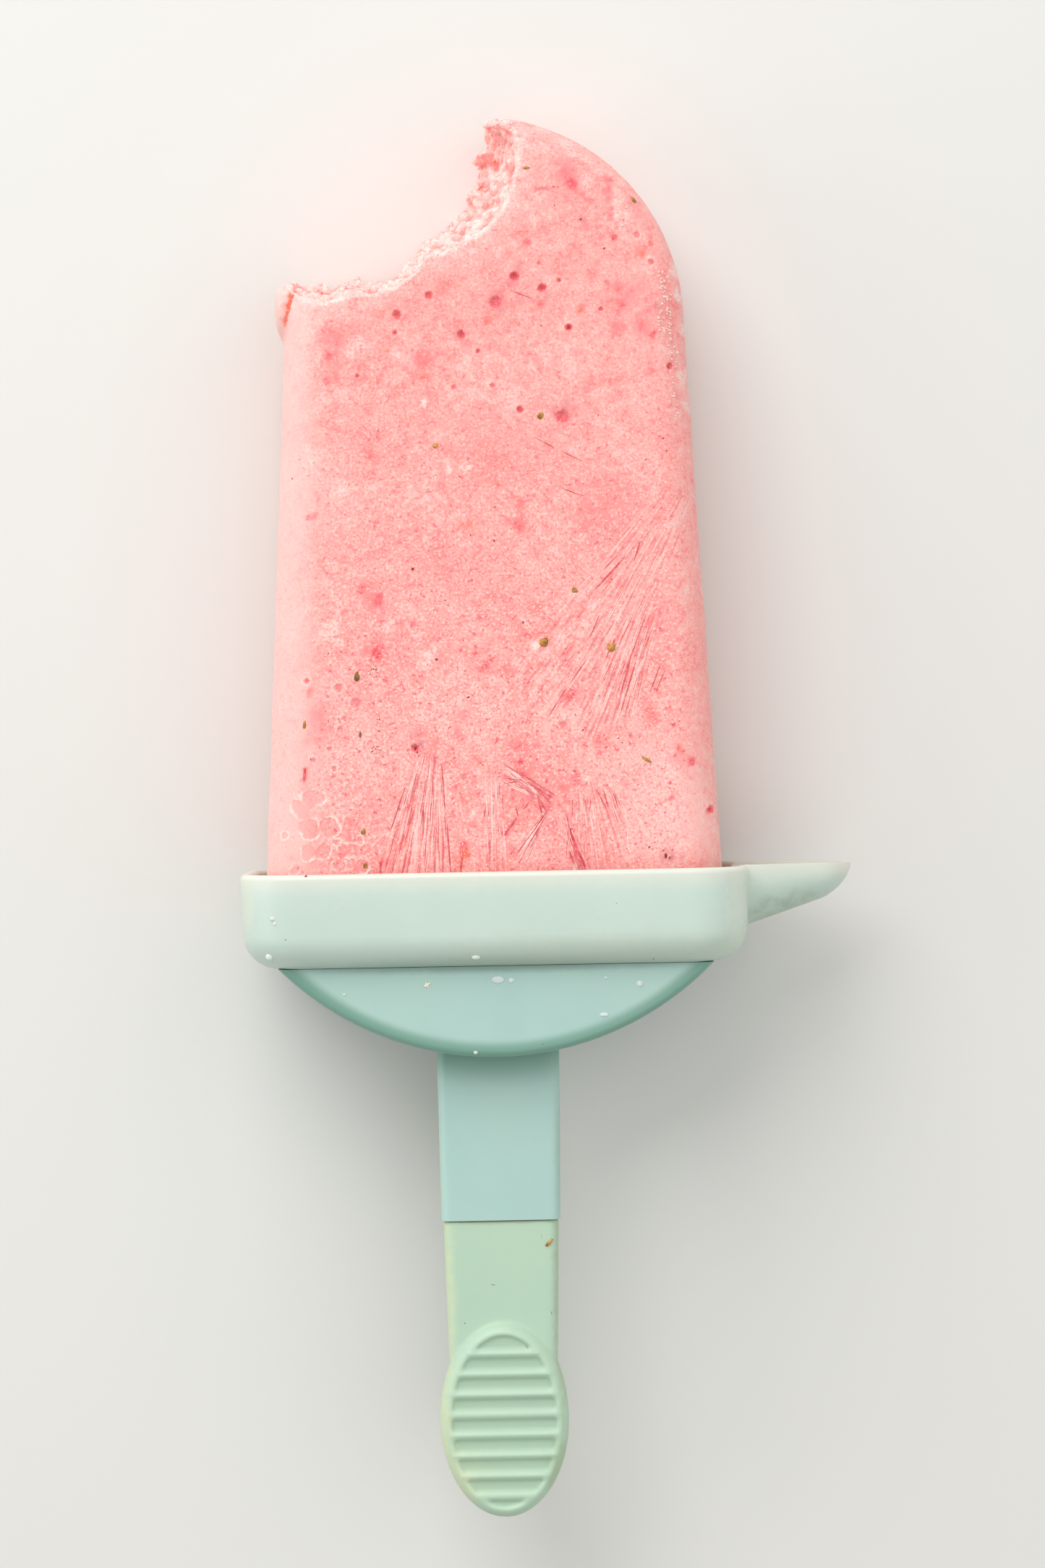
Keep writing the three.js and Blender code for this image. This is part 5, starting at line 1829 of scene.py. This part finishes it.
FROST_BANDS = (  # from and to across, from and to along, and how many grains
    (23.6, 25.4, 71, 81, 130),
    (24.9, 26.2, 60, 71, 50),
    (17.8, 19.6, 84, 91, 20),
    (-17.5, -15.0, 25, 28, 16),
    (-16.5, -14.8, 16, 18, 10),
    (-25.5, -22.5, 54, 57, 14),
    (-21.0, -18.0, 50, 53, 12),
)
FROST_SIZES = (0.08, 0.28)


def frost_grains():
    """Grains at random in each patch, most of them small."""
    draw = random.Random(88)
    bm = bmesh.new()
    for from_x, to_x, from_y, to_y, count in FROST_BANDS:
        for _ in range(count):
            place = (draw.uniform(from_x, to_x), draw.uniform(from_y, to_y))
            size = part_way(*FROST_SIZES, draw.random() ** 2)
            turn = any_turn(draw)
            lump(bm, on_top(*place), (size, size * 0.8, size * 0.7), turn)
    return bm


DRY_FROST = two_toned("dry_frost", (0.98, 0.58, 0.51), (0.99, 0.72, 0.66), 0.45)
piece_of(frost_grains(), "frost_grains", DRY_FROST)

# ---- Drops of melted ice ----
# Clear drops that ran down and lie as low domes on the tray and the shoulder.

DROPS = (  # place across and along, half sizes across and along, and height
    (0.2, -14.8, 0.85, 0.52, 0.22),
    (2.0, -14.9, 0.4, 0.35, 0.15),
    (19.4, -15.7, 0.45, 0.45, 0.2),
    (14.5, -19.8, 0.62, 0.3, 0.18),
    (14.8, -14.8, 0.25, 0.2, 0.15),
    (-2.7, -11.5, 0.6, 0.35, 0.3),
    (-30.5, -11.0, 0.55, 0.5, 0.35),
    (-29.9, -5.8, 0.4, 0.3, 0.2),
    (-29.6, -6.5, 0.25, 0.25, 0.15),
    (-3.0, -24.6, 0.3, 0.25, 0.2),
    (-20.6, -16.4, 0.2, 0.2, 0.12),
)


WATER_DEEP = (0.84, 0.95, 0.92, 1)
WATER_PALE = (0.95, 0.98, 0.96, 1)
WATER_SHEEN = (0.08, 0.22)


def drops():
    """Each a flattened ball, half sunk in what it lies on."""
    bm = bmesh.new()
    for x, y, half_width, half_length, height in DROPS:
        laid = Matrix.Translation(on_top(x, y)) @ Matrix.Diagonal((half_width, half_length, height, 1))
        bmesh.ops.create_uvsphere(bm, u_segments=32, v_segments=20, radius=1, matrix=laid)
    return bm


def melt_water():
    """Water clouded a little by the cream."""
    material, tree, shader = new_material("melt_water")
    cloudy = clouds(tree, own_place(tree), 1.2, 2.0, 0.6)
    colour = mixed(tree, eased(tree, cloudy, 0.35, 0.65), WATER_DEEP, WATER_PALE)
    tree.links.new(colour, shader.inputs["Base Color"])
    tree.links.new(eased(tree, cloudy, 0.3, 0.7, *WATER_SHEEN), shader.inputs["Roughness"])
    shader.inputs["IOR"].default_value = ICE_BENDING
    shader.inputs["Transmission Weight"].default_value = 0.3
    return material


piece_of(drops(), "melt_drops", melt_water())

# ---- Crumb, hairs and scratch ----
# A dried yellowish crumb on the shoulder, a few short dark hairs and bits of lint stuck to the plastic, and
# the pale raised burr of a scratch across the tray.

CRUMB_PLACE = (-9.4, -15.3)
CRUMB_LUMPS = (  # place from the crumb's own, and size
    (0.0, 0.0, 0.3),
    (0.26, 0.16, 0.22),
    (-0.2, -0.12, 0.26),
    (0.1, -0.28, 0.18),
    (-0.15, 0.22, 0.14),
)
HAIRS = (  # from and to, across and along, and width
    (21.1, -12.2, 21.4, -12.3, 0.2),
    (-28.3, -8.5, -28.1, -8.8, 0.16),
    (16.2, -4.5, 16.4, -4.6, 0.14),
    (6.1, -23.5, 6.2, -23.8, 0.16),
    (-5.4, -62.4, -5.1, -62.6, 0.2),
    (-1.7, -57.2, -0.8, -57.4, 0.1),
    (6.6, -61.0, 6.8, -61.7, 0.1),
    (3.0, -65.5, 3.5, -66.2, 0.09),
    (5.5, -50.4, 5.6, -51.1, 0.06),
)
SCRATCHES = (  # the same
    (-23.6, -6.9, -19.0, -2.3, 0.07),
    (-22.1, -5.2, -20.3, -3.5, 0.05),
)


def dried_crumb():
    draw = random.Random(3)
    bm = bmesh.new()
    for x, y, size in CRUMB_LUMPS:
        place = on_top(CRUMB_PLACE[0] + x, CRUMB_PLACE[1] + y)
        lump(bm, place, (size, size * 0.8, size * 0.7), any_turn(draw), 2)
    return bm


def slivers(lines):
    """Thin slivers that follow what they lie on."""
    bm = bmesh.new()
    crystals(bm, lines, NEEDLE_PROUD)
    return bm


DRIED_CREAM = two_toned("dried_cream", (0.66, 0.50, 0.28), (0.90, 0.84, 0.66), 0.6)
piece_of(dried_crumb(), "dried_crumb", DRIED_CREAM)
HAIR = two_toned("hair", (0.10, 0.13, 0.08), (0.20, 0.24, 0.17), 0.5)
piece_of(slivers(HAIRS), "hairs", HAIR)
SCRAPED_PLASTIC = two_toned("scraped_plastic", (0.74, 0.80, 0.73), (0.82, 0.86, 0.80), 0.5)
piece_of(slivers(SCRATCHES), "scratch_burr", SCRAPED_PLASTIC)

# ---- Table, light and camera ----
# The pop lies on a plain pale table under a large soft light from the upper left, seen from almost straight
# above. A pale wall on the left and the ceiling throw light back into the shade.

TABLE_COLOUR = (0.77, 0.765, 0.735, 1)
TABLE_HALF_SIZE = 2.0
SKY_COLOUR = (1.0, 0.99, 0.97, 1)
SKY_STRENGTH = 0.4
LAMPS = {  # size, power, place and where it points, in metres and watts
    "window": (0.8, 7.9, (-0.32, 0.78, 0.6), (0, 0.02, 0)),
    "bounce": (0.5, 1.3, (-0.7, 0.08, 0.25), (0, 0, 0)),
    "ceiling": (2.2, 11.2, (0.8, 0.1, 1.3), (0, 0, 0)),
}

table_top = bmesh.new()
bmesh.ops.create_grid(table_top, x_segments=1, y_segments=1, size=TABLE_HALF_SIZE)
table_mesh = bpy.data.meshes.new("table")
table_top.to_mesh(table_mesh)
table_top.free()
table = bpy.data.objects.new("table", table_mesh)
bpy.context.scene.collection.objects.link(table)
table_paint, _, table_shader = new_material("pale_table")
table_shader.inputs["Base Color"].default_value = TABLE_COLOUR
table_shader.inputs["Roughness"].default_value = 0.8
table_mesh.materials.append(table_paint)

sky = bpy.data.worlds.new("soft_room")
sky.use_nodes = True
sky.node_tree.nodes["Background"].inputs["Color"].default_value = SKY_COLOUR
sky.node_tree.nodes["Background"].inputs["Strength"].default_value = SKY_STRENGTH
bpy.context.scene.world = sky

for name, (size, power, lamp_place, aim) in LAMPS.items():
    lamp = bpy.data.lights.new(name, "AREA")
    lamp.shape = "SQUARE"
    lamp.size = size
    lamp.energy = power
    holder = bpy.data.objects.new(name, lamp)
    holder.location = lamp_place
    holder.rotation_euler = (Vector(aim) - Vector(lamp_place)).to_track_quat("-Z", "Y").to_euler()
    bpy.context.scene.collection.objects.link(holder)

CAMERA_PLACE = (0.00143, 0.04605, 0.514)
CAMERA_TURN = (-3.765, -0.372, -1.038)  # in degrees
CAMERA_LENS = 83.03
camera = bpy.data.objects.new("camera", bpy.data.cameras.new("camera"))
camera.location = CAMERA_PLACE
camera.rotation_euler = [math.radians(angle) for angle in CAMERA_TURN]
camera.data.lens = CAMERA_LENS
bpy.context.scene.collection.objects.link(camera)
bpy.context.scene.camera = camera
bpy.context.scene.view_settings.view_transform = "Standard"
